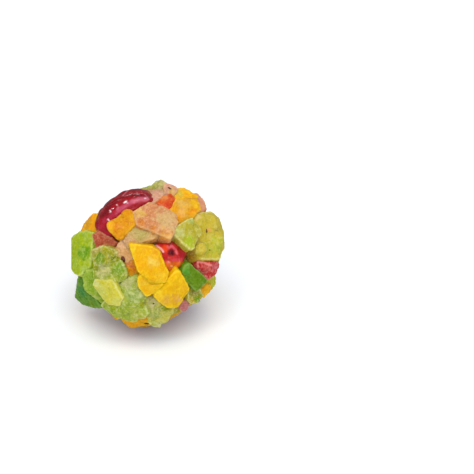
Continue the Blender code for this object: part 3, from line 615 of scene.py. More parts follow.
def roomBetween(site, weight, others):  # corners round a site, partway to its neighbours
    side = site.orthogonal().normalized()
    over = site.cross(side)
    reach = hiddenSide["siteWidth"]
    square = ((-reach, -reach), (reach, -reach), (reach, reach), (-reach, reach))
    room = [Vector(corner) for corner in square]
    for other, otherWeight in others:
        apart = site.angle(other)
        if 0.0 < apart < hiddenSide["neighbourReach"]:
            heading = Vector((other.dot(side), other.dot(over))).normalized()
            share = weight / (weight + otherWeight)
            room = clipCorners(room, heading, apart * ball["radius"] * share)
    spaced = []
    for corner in room:
        if all((corner - kept).length > hiddenSide["shortestSide"] for kept in spaced):
            spaced.append(corner)
    return [side * corner.x + over * corner.y for corner in spaced]


def hiddenLift(site, draw):
    onRim = site.dot(towardsEye) > hiddenSide["rimLimit"]
    lift = draw.uniform(*hiddenSide["rimLift" if onRim else "lift"])
    return hiddenSide["footLift"] if -site.z > hiddenSide["footReach"] else lift


def looseSites(shown, draw):
    for direction in spreadDirections(looseSide["spreadCount"], looseSide["turn"], looseSide["stray"], draw):
        kept = draw.random() < looseSide["keptShare"]
        nearest = min(direction.angle(other) / share for other, share in shown)
        hidden = direction.dot(towardsEye) < looseSide["limit"] and -direction.z < hiddenSide["footReach"]
        if kept and hidden and nearest > looseSide["roomToNeighbour"]:
            yield direction


def looseRoom(site, draw):
    side = Matrix.Rotation(draw.uniform(0.0, math.tau), 3, site) @ site.orthogonal().normalized()
    over = site.cross(side)
    stretch = draw.uniform(*looseSide["stretch"])
    count = draw.randint(*looseSide["corners"])
    room = []
    for corner in range(count):
        turn = math.tau * (corner + draw.uniform(-1.0, 1.0) * looseSide["cornerStray"]) / count
        reach = draw.uniform(*looseSide["reach"])
        room.append(side * math.cos(turn) * reach * stretch + over * math.sin(turn) * reach)
    return room


def hiddenPoints(site, room, lift, depth, draw):
    onRim = site.dot(towardsEye) > hiddenSide["rimLimit"]
    steepest = hiddenSide["rimLean" if onRim else "lean"]
    lean = Vector([draw.uniform(-1.0, 1.0) * steepest for _ in range(3)])
    outer = []
    for corner in room:
        unevenness = draw.uniform(-1.0, 1.0) * cut["hiddenUnevenness"]
        height = ball["radius"] + lift + unevenness + corner.dot(lean)
        outer.append(withinBall(site * height + corner * hiddenSide["overlap"]))
    return [heldInOutline(corner) for corner in dicePoints(outer, site, depth)]


def buriedDice(shown, draw):
    hidden = list(hiddenSites(shown, draw))
    placed = []
    for site, weight in hidden:
        room = roomBetween(site, weight, shown + hidden)
        lift = hiddenLift(site, draw)
        placed.append((site, hiddenPoints(site, room, lift, hiddenSide["depth"], draw)))
    return placed


def looseDice(shown, draw):
    placed = []
    for site in list(looseSites(shown, draw)):
        room = looseRoom(site, draw)
        lift = draw.uniform(*looseSide["lift"])
        placed.append((site, hiddenPoints(site, room, lift, looseSide["depth"], draw)))
    return placed


def hiddenForm(site, points, colours, draw):  # adds a raised spot, blots and fibres to a hidden dice
    corners = points[:len(points) // 2]
    middle = sum(corners, Vector()) / len(corners)
    spot = middle.lerp(draw.choice(corners), draw.uniform(*hiddenSide["raisedShare"]))
    raised = withinBall(spot + site * draw.uniform(*hiddenSide["raised"]) - ball["centre"])
    blots = []
    for _ in range(hiddenSide["blots"]):
        place = middle.lerp(draw.choice(corners), draw.uniform(*hiddenSide["blotShare"]))
        blots.append((place, draw.uniform(*hiddenSide["blotReach"]), draw.choice(colours)))
    along = Vector([draw.gauss(0.0, 1.0) for _ in range(3)])
    return dict(points=points + [raised], middle=middle, outward=site, knobs=[], blots=blots, along=along)


def hiddenFlesh(site, matched, draw):  # beside the front dice it follows the nearest of them
    kind = draw.choices(list(kinds), [look["share"] for look in kinds.values()])[0]
    colour = draw.choice(kinds[kind]["colours"])
    if site.dot(towardsEye) > hiddenSide["blendLimit"]:
        neighbour = min(matched, key=lambda dice: site.angle(frontMiddle(dice) - ball["centre"]))
        return neighbour["kind"], neighbour["colour"], [neighbour["colour"]]
    return kind, colour, kinds[kind]["colours"]


# From a dice's corners to its flesh

flesh = {
    "frontVoxel": 0.28 * mm,
    "hiddenVoxel": 0.38 * mm,
    # how far the painted edge highlight reaches from the dice's outer edges, and which edges carry it
    "rimReach": 0.3 * mm,
    "rimCrease": math.radians(38.0),
    "rimDepth": 2.0 * mm,
    "knobSides": 3,
    "softening": 0.5,
    "shade": 0.87,
    "shadeSpread": 0.04,
    "patternShift": 0.1,
    "blotStray": 1.1 * mm,
    "blotWander": 0.8,
    "blotEdge": 1.4,
    "mergeReach": 0.55 * mm,  # neighbouring dice of soft kinds share their colours this near each other
    "mergeFill": 0.3 * mm,
    "mergeTint": 0.5,
    "mergeStep": 2,
    "mergeDeepest": 17.0 * mm,
    "seed": 5,
}


def hullMesh(form):
    bm = bmesh.new()
    for point in form["points"]:
        bm.verts.new(point)
    hull = bmesh.ops.convex_hull(bm, input=bm.verts)
    leftOver = set(hull["geom_interior"] + hull["geom_unused"])
    bmesh.ops.delete(bm, geom=[vert for vert in bm.verts if vert in leftOver], context="VERTS")
    bmesh.ops.recalc_face_normals(bm, faces=bm.faces)
    deepest = -flesh["rimDepth"]
    creases = [
        [list(vert.co) for vert in edge.verts]
        for edge in bm.edges
        if edge.calc_face_angle(0.0) > flesh["rimCrease"]
        and all((vert.co - form["middle"]).dot(form["outward"]) > deepest for vert in edge.verts)
    ]
    for place, radius in form["knobs"]:
        bmesh.ops.create_icosphere(bm, subdivisions=flesh["knobSides"], radius=radius,
                                   matrix=Matrix.Translation(place))
    mesh = bpy.data.meshes.new("hull")
    bm.to_mesh(mesh)
    bm.free()
    return mesh, np.array(creases)


def softenedDice(mesh, voxel, softening):
    obj = linkObject("dice", mesh)
    remesh = obj.modifiers.new("remesh", "REMESH")
    remesh.mode = "VOXEL"
    remesh.voxel_size = voxel
    soften = obj.modifiers.new("soften", "SMOOTH")
    soften.factor = flesh["softening"]
    soften.iterations = softening
    soft = evaluatedMesh(obj)
    points, faces = meshArrays(soft)
    bpy.data.meshes.remove(soft)
    removeObject(obj)
    return points, faces


def distanceToEdges(points, edges):
    nearest = np.full(len(points), np.inf)
    for start, end in edges:
        along = end - start
        share = np.clip((points - start) @ along / (along @ along), 0.0, 1.0)
        gap = np.linalg.norm(points - (start + share[:, None] * along), axis=1)
        nearest = np.minimum(nearest, gap)
    return nearest


def paintFlesh(points, colour, blots, shade):
    base = np.tile(np.array(srgb(*colour))[:3], (len(points), 1))
    wander = np.array([noise.noise(Vector(point) / flesh["blotStray"]) for point in points])
    for place, reach, tint in blots:
        gap = np.linalg.norm(points - np.array(place), axis=1) / reach
        near = smoothstep(flesh["blotEdge"] - gap + wander * flesh["blotWander"])[:, None]
        base = base * (1.0 - near) + np.array(srgb(*tint))[:3] * near
    return np.hstack([base * shade, np.ones((len(points), 1))])


def patternFrame(form):  # rows: two axes across the fibres, then the one along them
    along = (form["along"] - form["along"].dot(form["outward"]) * form["outward"]).normalized()
    return np.array((form["outward"], along.cross(form["outward"]), along))


def makeDice(cluster, kind, form, colour, voxel, draw):
    hull, creases = hullMesh(form)
    verts, faces = softenedDice(hull, voxel, kinds[kind]["soften"])
    shift = np.array([draw.uniform(-1.0, 1.0) for _ in range(3)]) * flesh["patternShift"]
    shade = flesh["shade"] + draw.uniform(-1.0, 1.0) * flesh["shadeSpread"]
    cluster.append({
        "kind": kind,
        "verts": verts,
        "faces": faces,
        # paler along the outer edges: painted highlight
        "highlightShare": np.exp(-distanceToEdges(verts, creases) / flesh["rimReach"]),
        "cut": (verts - np.array(form["middle"])) @ patternFrame(form).T + shift,
        "flesh": paintFlesh(verts, colour, form["blots"], shade),
    })


def nearVerts(verts, low, high):
    return np.flatnonzero(((verts > low) & (verts < high)).all(axis=1))


def mergeDice(cluster):  # neighbouring dice run into each other in colour, and the groove between them closes
    reach = 2.0 * flesh["mergeReach"]
    centre = np.array(ball["centre"])
    merged = []
    for item in cluster:
        softness = kinds[item["kind"]]["merge"]
        verts = item["verts"]
        outward = verts - centre
        distance = np.linalg.norm(outward, axis=1)
        shown = np.flatnonzero(distance > flesh["mergeDeepest"])
        low = verts[shown].min(axis=0) - reach
        high = verts[shown].max(axis=0) + reach
        others = []
        tints = []
        for other in cluster:
            share = min(softness, kinds[other["kind"]]["merge"])
            if other is item or share == 0.0:
                continue
            near = nearVerts(other["verts"], low, high)[::flesh["mergeStep"]]
            others.extend(other["verts"][near].tolist())
            tints.extend(np.column_stack([other["flesh"][near, :3], np.full(len(near), share)]).tolist())
        colour = item["flesh"].copy()
        placed = verts.copy()
        highlightShare = item["highlightShare"].copy()
        if others:
            tree = KDTree(len(others))
            for number, place in enumerate(others):
                tree.insert(place, number)
            tree.balance()
            for index in shown:
                _, number, gap = tree.find(verts[index])
                *tint, share = tints[number]
                touch = share * math.exp(-((gap / flesh["mergeReach"]) ** 2))
                colour[index, :3] += (np.array(tint) - colour[index, :3]) * flesh["mergeTint"] * touch
                placed[index] += outward[index] / distance[index] * touch * flesh["mergeFill"]
                # where the dice merge, the painted edge highlight fades
                highlightShare[index] *= 1.0 - touch
        merged.append(dict(item, verts=placed, flesh=colour, highlightShare=highlightShare))
    return merged


def joinDice(name, dice):
    starts = np.cumsum([0] + [len(item["verts"]) for item in dice])
    verts = np.vstack([item["verts"] for item in dice])
    faces = np.vstack([item["faces"] + start for item, start in zip(dice, starts)])
    mesh = bpy.data.meshes.new(name)
    mesh.from_pydata(verts.tolist(), [], faces.tolist())
    addAttribute(mesh, "highlightShare", "FLOAT", np.concatenate([item["highlightShare"] for item in dice]))
    addAttribute(mesh, "cut", "FLOAT_VECTOR", np.vstack([item["cut"] for item in dice]))
    addAttribute(mesh, "flesh", "FLOAT_COLOR", np.vstack([item["flesh"] for item in dice]))
    return linkObject(name, mesh)


# Node helpers

def addNode(tree, kind, settings=None, **inputs):
    node = tree.nodes.new(kind)
    for key, value in (settings or {}).items():
        setattr(node, key, value)
    for key, value in inputs.items():
        setInput(tree, node.inputs[key.replace("_", " ")], value)
    return node


def setInput(tree, socket, value):
    if isinstance(value, bpy.types.NodeSocket):
        tree.links.new(value, socket)
    else:
        socket.default_value = value


def mathNode(tree, operation, first, second=0.0, clamp=False):
    node = tree.nodes.new("ShaderNodeMath")
    node.operation = operation
    node.use_clamp = clamp
    setInput(tree, node.inputs[0], first)
    setInput(tree, node.inputs[1], second)
    return node.outputs[0]


def mixColours(tree, factor, first, second, blend="MIX"):
    node = tree.nodes.new("ShaderNodeMix")
    node.data_type = "RGBA"
    node.blend_type = blend
    setInput(tree, node.inputs["Factor"], factor)
    setInput(tree, node.inputs[6], first)
    setInput(tree, node.inputs[7], second)
    return node.outputs[2]


def remap(tree, value, low, high, newLow=0.0, newHigh=1.0):
    node = tree.nodes.new("ShaderNodeMapRange")
    node.interpolation_type = "SMOOTHSTEP"
    for socket, number in zip(node.inputs, (value, low, high, newLow, newHigh)):
        setInput(tree, socket, number)
    return node.outputs[0]


# Relief of the flesh, as a Geometry Nodes tree

relief = {
    "swell": 0.36,
    "warpSize": 2.6,
    "warpDepth": 0.8,
    "dentSize": 2.6,
    "dentDepth": 0.45,
    "pitSize": 0.8,
    "pitDepth": 0.22,
    "seed": 3.0,
    "detail": 2.5,
    "roughness": 0.55,
}
reliefInputs = {
    "swell": "Swell mm",
    "warpSize": "Warp size mm",
    "warpDepth": "Warp depth mm",
    "dentSize": "Dent size mm",
    "dentDepth": "Dent depth mm",
    "pitSize": "Pit size mm",
    "pitDepth": "Pit depth mm",
    "seed": "Seed",
}


def addTreeInput(tree, name, kind, value):
    socket = tree.interface.new_socket(name, in_out="INPUT", socket_type=kind)
    if value is not None:
        socket.default_value = value
    return socket.identifier


def centredVector(tree, colour):
    node = addNode(tree, "ShaderNodeVectorMath", {"operation": "SUBTRACT"})
    tree.links.new(colour, node.inputs[0])
    node.inputs[1].default_value = (0.5, 0.5, 0.5)
    return node.outputs[0]


def swingNoise(tree, entry, place, size):  # a number and a vector, each from -0.5 to 0.5
    scale = mathNode(tree, "DIVIDE", 1.0 / mm, entry.outputs[size])
    bumps = addNode(tree, "ShaderNodeTexNoise", {"noise_dimensions": "4D"}, Detail=relief["detail"],
                    Roughness=relief["roughness"], Vector=place, Scale=scale, W=entry.outputs["Seed"])
    return mathNode(tree, "SUBTRACT", bumps.outputs[0], 0.5), centredVector(tree, bumps.outputs[1])


def scaledBy(tree, vector, number):
    node = addNode(tree, "ShaderNodeVectorMath", {"operation": "SCALE"}, Scale=number)
    tree.links.new(vector, node.inputs[0])
    return node.outputs[0]


def reliefHeight(tree, entry, place, form):
    swing, _ = swingNoise(tree, entry, place, form + " size mm")
    return mathNode(tree, "MULTIPLY", swing, entry.outputs[form + " depth mm"])


def reliefTree():
    tree = bpy.data.node_groups.new("fruitRelief", "GeometryNodeTree")
    addTreeInput(tree, "Geometry", "NodeSocketGeometry", None)
    sockets = {
        key: addTreeInput(tree, name, "NodeSocketFloat", relief[key])
        for key, name in reliefInputs.items()
    }
    sockets["material"] = addTreeInput(tree, "Flesh", "NodeSocketMaterial", None)
    tree.interface.new_socket("Geometry", in_out="OUTPUT", socket_type="NodeSocketGeometry")
    entry = addNode(tree, "NodeGroupInput")
    cutPlace = addNode(tree, "GeometryNodeInputNamedAttribute", {"data_type": "FLOAT_VECTOR"}, Name="cut")
    place = cutPlace.outputs[0]
    normal = addNode(tree, "GeometryNodeInputNormal").outputs[0]
    _, warp = swingNoise(tree, entry, place, "Warp size mm")
    warpBy = mathNode(tree, "MULTIPLY", entry.outputs["Warp depth mm"], 2.0 * mm)
    warped = addNode(tree, "GeometryNodeSetPosition", Geometry=entry.outputs["Geometry"],
                     Offset=scaledBy(tree, warp, warpBy))
    dents = reliefHeight(tree, entry, place, "Dent")
    pits = reliefHeight(tree, entry, place, "Pit")
    height = mathNode(tree, "MULTIPLY", mathNode(tree, "ADD", dents, pits), 2.0 * mm)
    height = mathNode(tree, "ADD", height, mathNode(tree, "MULTIPLY", entry.outputs["Swell mm"], mm))
    dented = addNode(tree, "GeometryNodeSetPosition", Geometry=warped.outputs[0],
                     Offset=scaledBy(tree, normal, height))
    realized = addNode(tree, "GeometryNodeRealizeInstances", Geometry=dented.outputs[0])
    dressed = addNode(tree, "GeometryNodeSetMaterial", Geometry=realized.outputs[0],
                      Material=entry.outputs["Flesh"])
    addNode(tree, "NodeGroupOutput", Geometry=dressed.outputs[0])
    return tree, sockets


def applyTree(obj, tree, sockets, values):
    modifier = obj.modifiers.new(tree.name, "NODES")
    modifier.node_group = tree
    for key, value in values.items():
        modifier[sockets[key]] = value
    result = evaluatedMesh(obj)
    obj.modifiers.clear()
    old = obj.data
    obj.data = result
    obj.data.name = obj.name
    bpy.data.meshes.remove(old)


def keepInBox(obj):  # trims what the relief pushed past the solids' box: the ball keeps its size and its flat
    points = np.empty(len(obj.data.vertices) * 3, np.float32)
    obj.data.vertices.foreach_get("co", points)
    low, high = (np.array(corner, np.float32) for corner in cadBox)
    points = np.clip(points.reshape(-1, 3), low, high)
    obj.data.vertices.foreach_set("co", points.ravel())
    obj.data.update()


# Materials. Noise: detail, roughness and distortion. Tints: where in the pattern a tint starts, where it is
# full and how strong it gets. Bump: strength and distance. shader: what is set on the shader itself

syrupAndShade = {  # syrup amber and painted shade, darker deep between the dice
    "tint": (176, 120, 30),
    "deepest": 16.6 * mm,
    "shallowest": 19.2 * mm,
    "strength": 0.6,
}
fleshLook = {
    "patchNoise": (4.0, 0.65, 0.5),
    "fibreNoise": (3.0, 0.6, 0.2),
    "fineNoise": (3.0, 0.6, 0.0),
    "grainSize": 0.9 * mm,
    "fibreSize": 0.42 * mm,
    "fibreStretch": 0.14,
    "fleckSize": 0.5 * mm,
    "lightShare": 0.55,
    "tints": [  # pattern, tint, start, full, strength, and the kind's own share of it
        ("patches", "deeper", 0.5, 0.36, 1.0, "patch"),
        ("patches", "lighter", 0.52, 0.66, 1.0, "patch"),
        ("fibres", "deeper", 0.48, 0.34, 0.35, "fibre"),
        ("fibres", "lighter", 0.52, 0.66, 0.45, "fibre"),
        ("grains", "deeper", 0.48, 0.36, 0.7, "grain"),
        ("flecks", "pale", 0.5, 0.66, 0.45, "grain"),
        # paler along the dice's outer edges: painted highlight
        ("highlightShare", "pale", 0.2, 0.9, 1.0, "edge"),
    ],
    "smoother": 0.1,
    "rougher": 0.12,
    "fleckRelief": 0.5,
    "bump": (1.0, 0.3 * mm),
    "shader": {
        "IOR": 1.42,
        "Specular IOR Level": 0.14,
        "Subsurface Weight": 0.4,
        "Subsurface Radius": (1.0, 0.8, 0.35),
        "Subsurface Scale": 1.8 * mm,
        "Coat Weight": 0.1,
        "Coat Roughness": 0.16,
    },
}


def newMaterial(name, settings):
    material = bpy.data.materials.new(name)
    material.use_nodes = True
    shader = material.node_tree.nodes["Principled BSDF"]
    for socket, value in settings.items():
        shader.inputs[socket].default_value = value
    return material, material.node_tree, shader


def readAttribute(tree, name, output):
    return addNode(tree, "ShaderNodeAttribute", {"attribute_name": name}).outputs[output]


def noiseAt(tree, place, size, detail=2.0, roughness=0.5, distortion=0.0):
    return addNode(tree, "ShaderNodeTexNoise", Vector=place, Scale=1.0 / size, Detail=detail,
                   Roughness=roughness, Distortion=distortion).outputs[0]


def shiftedColour(tree, colour, saturation, value):
    node = addNode(tree, "ShaderNodeHueSaturation", Saturation=saturation, Value=value, Color=colour)
    return node.outputs[0]


def timesShare(tree, value, share):
    return mathNode(tree, "MULTIPLY", value, share)


def tinted(tree, colour, tint, pattern, start, full, strength=1.0):
    return mixColours(tree, timesShare(tree, remap(tree, pattern, start, full), strength), colour, tint)


def addBump(tree, shader, height, strength, distance):
    bump = addNode(tree, "ShaderNodeBump", Strength=strength, Distance=distance, Height=height)
    tree.links.new(bump.outputs[0], shader.inputs["Normal"])


def objectPlace(tree):
    return addNode(tree, "ShaderNodeTexCoord").outputs["Object"]


def creviceFactor(tree):  # 1 deep between the dice and 0 at the ball's surface
    fromCentre = addNode(tree, "ShaderNodeVectorMath", {"operation": "DISTANCE"})
    tree.links.new(objectPlace(tree), fromCentre.inputs[0])
    fromCentre.inputs[1].default_value = ball["centre"]
    return remap(tree, fromCentre.outputs["Value"], syrupAndShade["deepest"], syrupAndShade["shallowest"], 1.0, 0.0)


def fleshMaterial(name, look):
    material, tree, shader = newMaterial(name, fleshLook["shader"])
    colour = readAttribute(tree, "flesh", "Color")
    place = readAttribute(tree, "cut", "Vector")
    stretch = (1.0, 1.0, fleshLook["fibreStretch"])
    stretched = addNode(tree, "ShaderNodeMapping", Vector=place, Scale=stretch).outputs[0]
    patterns = {
        "patches": noiseAt(tree, place, look["patchSize"] * mm, *fleshLook["patchNoise"]),
        "fibres": noiseAt(tree, stretched, fleshLook["fibreSize"], *fleshLook["fibreNoise"]),
        "grains": noiseAt(tree, place, fleshLook["grainSize"], *fleshLook["fineNoise"]),
        "flecks": noiseAt(tree, place, fleshLook["fleckSize"], *fleshLook["fineNoise"]),
        "highlightShare": readAttribute(tree, "highlightShare", "Fac"),
    }
    pale = srgb(*look["light"])
    tints = {
        "deeper": mixColours(tree, 1.0, colour, (*look["deepen"], 1.0), "MULTIPLY"),
        "lighter": mixColours(tree, fleshLook["lightShare"], colour, pale),
        "pale": pale,
    }
    tone = colour
    for pattern, tint, start, full, strength, share in fleshLook["tints"]:
        tone = tinted(tree, tone, tints[tint], patterns[pattern], start, full, strength * look[share])
    # deep between the dice the flesh darkens towards amber: painted shade with the syrup's tint
    darkenedTone = mixColours(tree, 1.0, tone, srgb(*syrupAndShade["tint"]), "MULTIPLY")
    tone = mixColours(tree, timesShare(tree, creviceFactor(tree), syrupAndShade["strength"]), tone, darkenedTone)
    tree.links.new(tone, shader.inputs["Base Color"])

    smooth = look["rough"] - fleshLook["smoother"]
    rough = look["rough"] + fleshLook["rougher"]
    tree.links.new(remap(tree, patterns["patches"], 0.3, 0.7, smooth, rough), shader.inputs["Roughness"])
    ridges = timesShare(tree, patterns["fibres"], look["fibre"])
    height = mathNode(tree, "ADD", ridges, timesShare(tree, patterns["grains"], look["grain"]))
    height = mathNode(tree, "ADD", height, timesShare(tree, patterns["flecks"], fleshLook["fleckRelief"]))
    addBump(tree, shader, height, *fleshLook["bump"])
    return material


syrupLook = {
    "cloudSize": 4.0 * mm,
    "pulpSize": 0.9 * mm,
    "detail": 3.0,
    "brown": (128, 86, 6),
    "olive": (104, 88, 10),
    "oliveTints": (0.4, 0.6),
    "pulp": (152, 104, 18),
    "pulpTints": (0.45, 0.65, 0.5),
    "roughness": (0.18, 0.42),
    "bump": (0.6, 0.3 * mm),
    "shader": {
        "Subsurface Weight": 0.4,
        "Subsurface Radius": (1.0, 0.6, 0.2),
        "Subsurface Scale": 1.2 * mm,
        "Coat Weight": 0.4,
        "Coat Roughness": 0.12,
    },
}


def syrupMaterial():
    material, tree, shader = newMaterial("syrup", syrupLook["shader"])
    clouds = noiseAt(tree, objectPlace(tree), syrupLook["cloudSize"], syrupLook["detail"])
    pulp = noiseAt(tree, objectPlace(tree), syrupLook["pulpSize"], syrupLook["detail"])
    brown = srgb(*syrupLook["brown"])
    tone = tinted(tree, brown, srgb(*syrupLook["olive"]), clouds, *syrupLook["oliveTints"])
    tone = tinted(tree, tone, srgb(*syrupLook["pulp"]), pulp, *syrupLook["pulpTints"])
    tree.links.new(tone, shader.inputs["Base Color"])
    tree.links.new(remap(tree, pulp, 0.3, 0.7, *syrupLook["roughness"]), shader.inputs["Roughness"])
    addBump(tree, shader, pulp, *syrupLook["bump"])
    return material


cherryLook = {
    "veinStretch": 0.3,
    "veinSize": 1.5 * mm,
    "veinNoise": (4.0, 0.6, 0.6),
    "cloudSize": 3.0 * mm,
    "fineSize": 0.5 * mm,
    "detail": 3.0,
    "light": (0.9, 1.5),  # saturation and value, beside the skin's own
    "dark": (1.05, 0.5),
    "cloudTints": (0.5, 0.36, 0.5),
    "veinTints": (0.56, 0.7, 0.4),
    "crestHighlightShare": 0.1,
    "roughness": (0.24, 0.4),
    "fineRelief": 0.2,
    "bump": (0.3, 0.3 * mm),
    "shader": {
        "IOR": 1.45,
        "Specular IOR Level": 0.2,
        "Subsurface Weight": 0.3,
        "Subsurface Radius": (1.0, 0.18, 0.12),
        "Subsurface Scale": 1.2 * mm,
        "Coat Weight": 0.8,
        "Coat Roughness": 0.06,
    },
}


def cherryMaterial(name):
    material, tree, shader = newMaterial(name, cherryLook["shader"])
    colour = readAttribute(tree, "flesh", "Color")
    crestHighlight = readAttribute(tree, "highlightShare", "Fac")
    place = readAttribute(tree, "cut", "Vector")
    stretch = (cherryLook["veinStretch"], 1.0, 1.0)
    lengthwise = addNode(tree, "ShaderNodeMapping", Vector=place, Scale=stretch).outputs[0]
    veins = noiseAt(tree, lengthwise, cherryLook["veinSize"], *cherryLook["veinNoise"])
    clouds = noiseAt(tree, place, cherryLook["cloudSize"], cherryLook["detail"])
    fine = noiseAt(tree, place, cherryLook["fineSize"], cherryLook["detail"])
    light = shiftedColour(tree, colour, *cherryLook["light"])
    dark = shiftedColour(tree, colour, *cherryLook["dark"])
    tone = tinted(tree, colour, dark, clouds, *cherryLook["cloudTints"])
    tone = tinted(tree, tone, light, veins, *cherryLook["veinTints"])
    # lighter on the crests, away from folds and creases: painted highlight
    tone = mixColours(tree, timesShare(tree, crestHighlight, cherryLook["crestHighlightShare"]), tone, light)
    tree.links.new(tone, shader.inputs["Base Color"])
    tree.links.new(remap(tree, fine, 0.3, 0.7, *cherryLook["roughness"]), shader.inputs["Roughness"])
    height = mathNode(tree, "ADD", veins, timesShare(tree, fine, cherryLook["fineRelief"]))
    addBump(tree, shader, height, *cherryLook["bump"])
    return material


seedLook = {
    "fleckSize": 0.4 * mm,
    "detail": 3.0,
    "dark": (58, 18, 12),
    "brown": (110, 46, 26),
    "brownTints": (0.4, 0.65),
    "bump": (0.4, 0.1 * mm),
    "shader": {"Roughness": 0.35, "Specular IOR Level": 0.3},
}


def seedMaterial():
    material, tree, shader = newMaterial("seeds", seedLook["shader"])
    flecks = noiseAt(tree, objectPlace(tree), seedLook["fleckSize"], seedLook["detail"])
    tone = tinted(tree, srgb(*seedLook["dark"]), srgb(*seedLook["brown"]), flecks, *seedLook["brownTints"])
    tree.links.new(tone, shader.inputs["Base Color"])
    addBump(tree, shader, flecks, *seedLook["bump"])
    return material


# Pieces

def finishPiece(obj, slotName, *replaced):
    obj.data.shade_smooth()
    keepInBox(obj)
    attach(obj, bodyName)
    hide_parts(*replaced)
    return obj


def layDice():
    shapeDraw = random.Random(ball["seed"])
    fleshDraw = random.Random(flesh["seed"])
    cluster = []
    for dice in frontDice.values():
        form = frontPoints(dice, shapeDraw)
        makeDice(cluster, dice["kind"], form, dice["colour"], flesh["frontVoxel"], fleshDraw)
    shown = list(shownSites())
    buried = buriedDice(shown, shapeDraw)
    loose = looseDice(shown, shapeDraw)
    matched = [dice for dice in frontDice.values() if dice["kind"] not in hiddenSide["unmatched"]]
    for site, points in buried + loose:
        kind, colour, colours = hiddenFlesh(site, matched, fleshDraw)
        form = hiddenForm(site, points, colours, fleshDraw)
        makeDice(cluster, kind, form, colour, flesh["hiddenVoxel"], fleshDraw)
    print(f"dice: {len(frontDice)} in front, {len(buried)} on the other sides, {len(loose)} lying on them")
    return mergeDice(cluster)


def makeFruit():
    cluster = layDice()
    tree, sockets = reliefTree()
    pieces = []
    for kind, look in kinds.items():
        dice = [item for item in cluster if item["kind"] == kind]
        obj = joinDice(kind, dice)
        values = {key: relief[key] for key in reliefInputs}
        values["warpDepth"] = relief["warpDepth"] * look["warp"]
        values["dentDepth"] = relief["dentDepth"] * look["dent"]
        values["material"] = fleshMaterial(kind, look)
        applyTree(obj, tree, sockets, values)
        pieces.append(finishPiece(obj, fruitSlot, "fruit_cluster"))
        print(f"{kind}: {len(dice)} dice, {len(obj.data.polygons)} triangles")
    return pieces


core = {
    "radius": 17.4 * mm,
    "subdivisions": 6,
    "lump": 1.1 * mm,
    "lumpsPerMetre": 170.0,
    "fineLump": 0.35 * mm,
    "finePerMetre": 620.0,
}


def makeCore():
    bm = bmesh.new()
    bmesh.ops.create_icosphere(bm, subdivisions=core["subdivisions"], radius=core["radius"])
    for vert in bm.verts:
        lump = noise.noise(vert.co * core["lumpsPerMetre"]) * core["lump"]
        lump += noise.noise(vert.co * core["finePerMetre"]) * core["fineLump"]
        vert.co += vert.co.normalized() * lump
    bmesh.ops.translate(bm, verts=bm.verts, vec=ball["centre"])
    mesh = bpy.data.meshes.new("syrupCore")
    bm.to_mesh(mesh)
    bm.free()
    obj = linkObject("syrupCore", mesh)
    mesh.materials.append(syrupMaterial())
    return finishPiece(obj, fruitSlot, "fruit_cluster")


# Crumbs of fruit pressed into the gaps between the dice

crumbs = {
    "density": 90000.0,
    "radius": 1.0,
    "smallest": 0.7,
    "largest": 1.2,
    "lift": 0.1,
    "seed": 8,
    "subdivisions": 2,
    "lumpSize": 0.8 * mm,
    "lumpDepth": 1.3 * mm,
    "colours": [(118, 96, 10), (150, 100, 12), (120, 108, 20), (138, 92, 30), (128, 66, 16), (104, 84, 8)],
}


crumbInputs = {
    "density": ("Crumbs per square metre", "NodeSocketFloat"),
    "radius": ("Crumb radius mm", "NodeSocketFloat"),
    "smallest": ("Smallest scale", "NodeSocketFloat"),
    "largest": ("Largest scale", "NodeSocketFloat"),
    "lift": ("Lift mm", "NodeSocketFloat"),
    "seed": ("Seed", "NodeSocketInt"),
}


def randomNumber(tree, entry):
    return addNode(tree, "FunctionNodeRandomValue", {"data_type": "FLOAT"}, Seed=entry.outputs["Seed"])


def crumbColour(tree, entry):  # one of the crumbs' colours for each crumb
    ramp = addNode(tree, "ShaderNodeValToRGB", Fac=randomNumber(tree, entry).outputs[1])
    ramp.color_ramp.interpolation = "CONSTANT"
    stops = ramp.color_ramp.elements
    count = len(crumbs["colours"])
    for number, colour in enumerate(crumbs["colours"]):
        stop = stops[number] if number < 2 else stops.new(number / count)
        stop.position = number / count
        stop.color = srgb(*colour)
    return ramp.outputs[0]


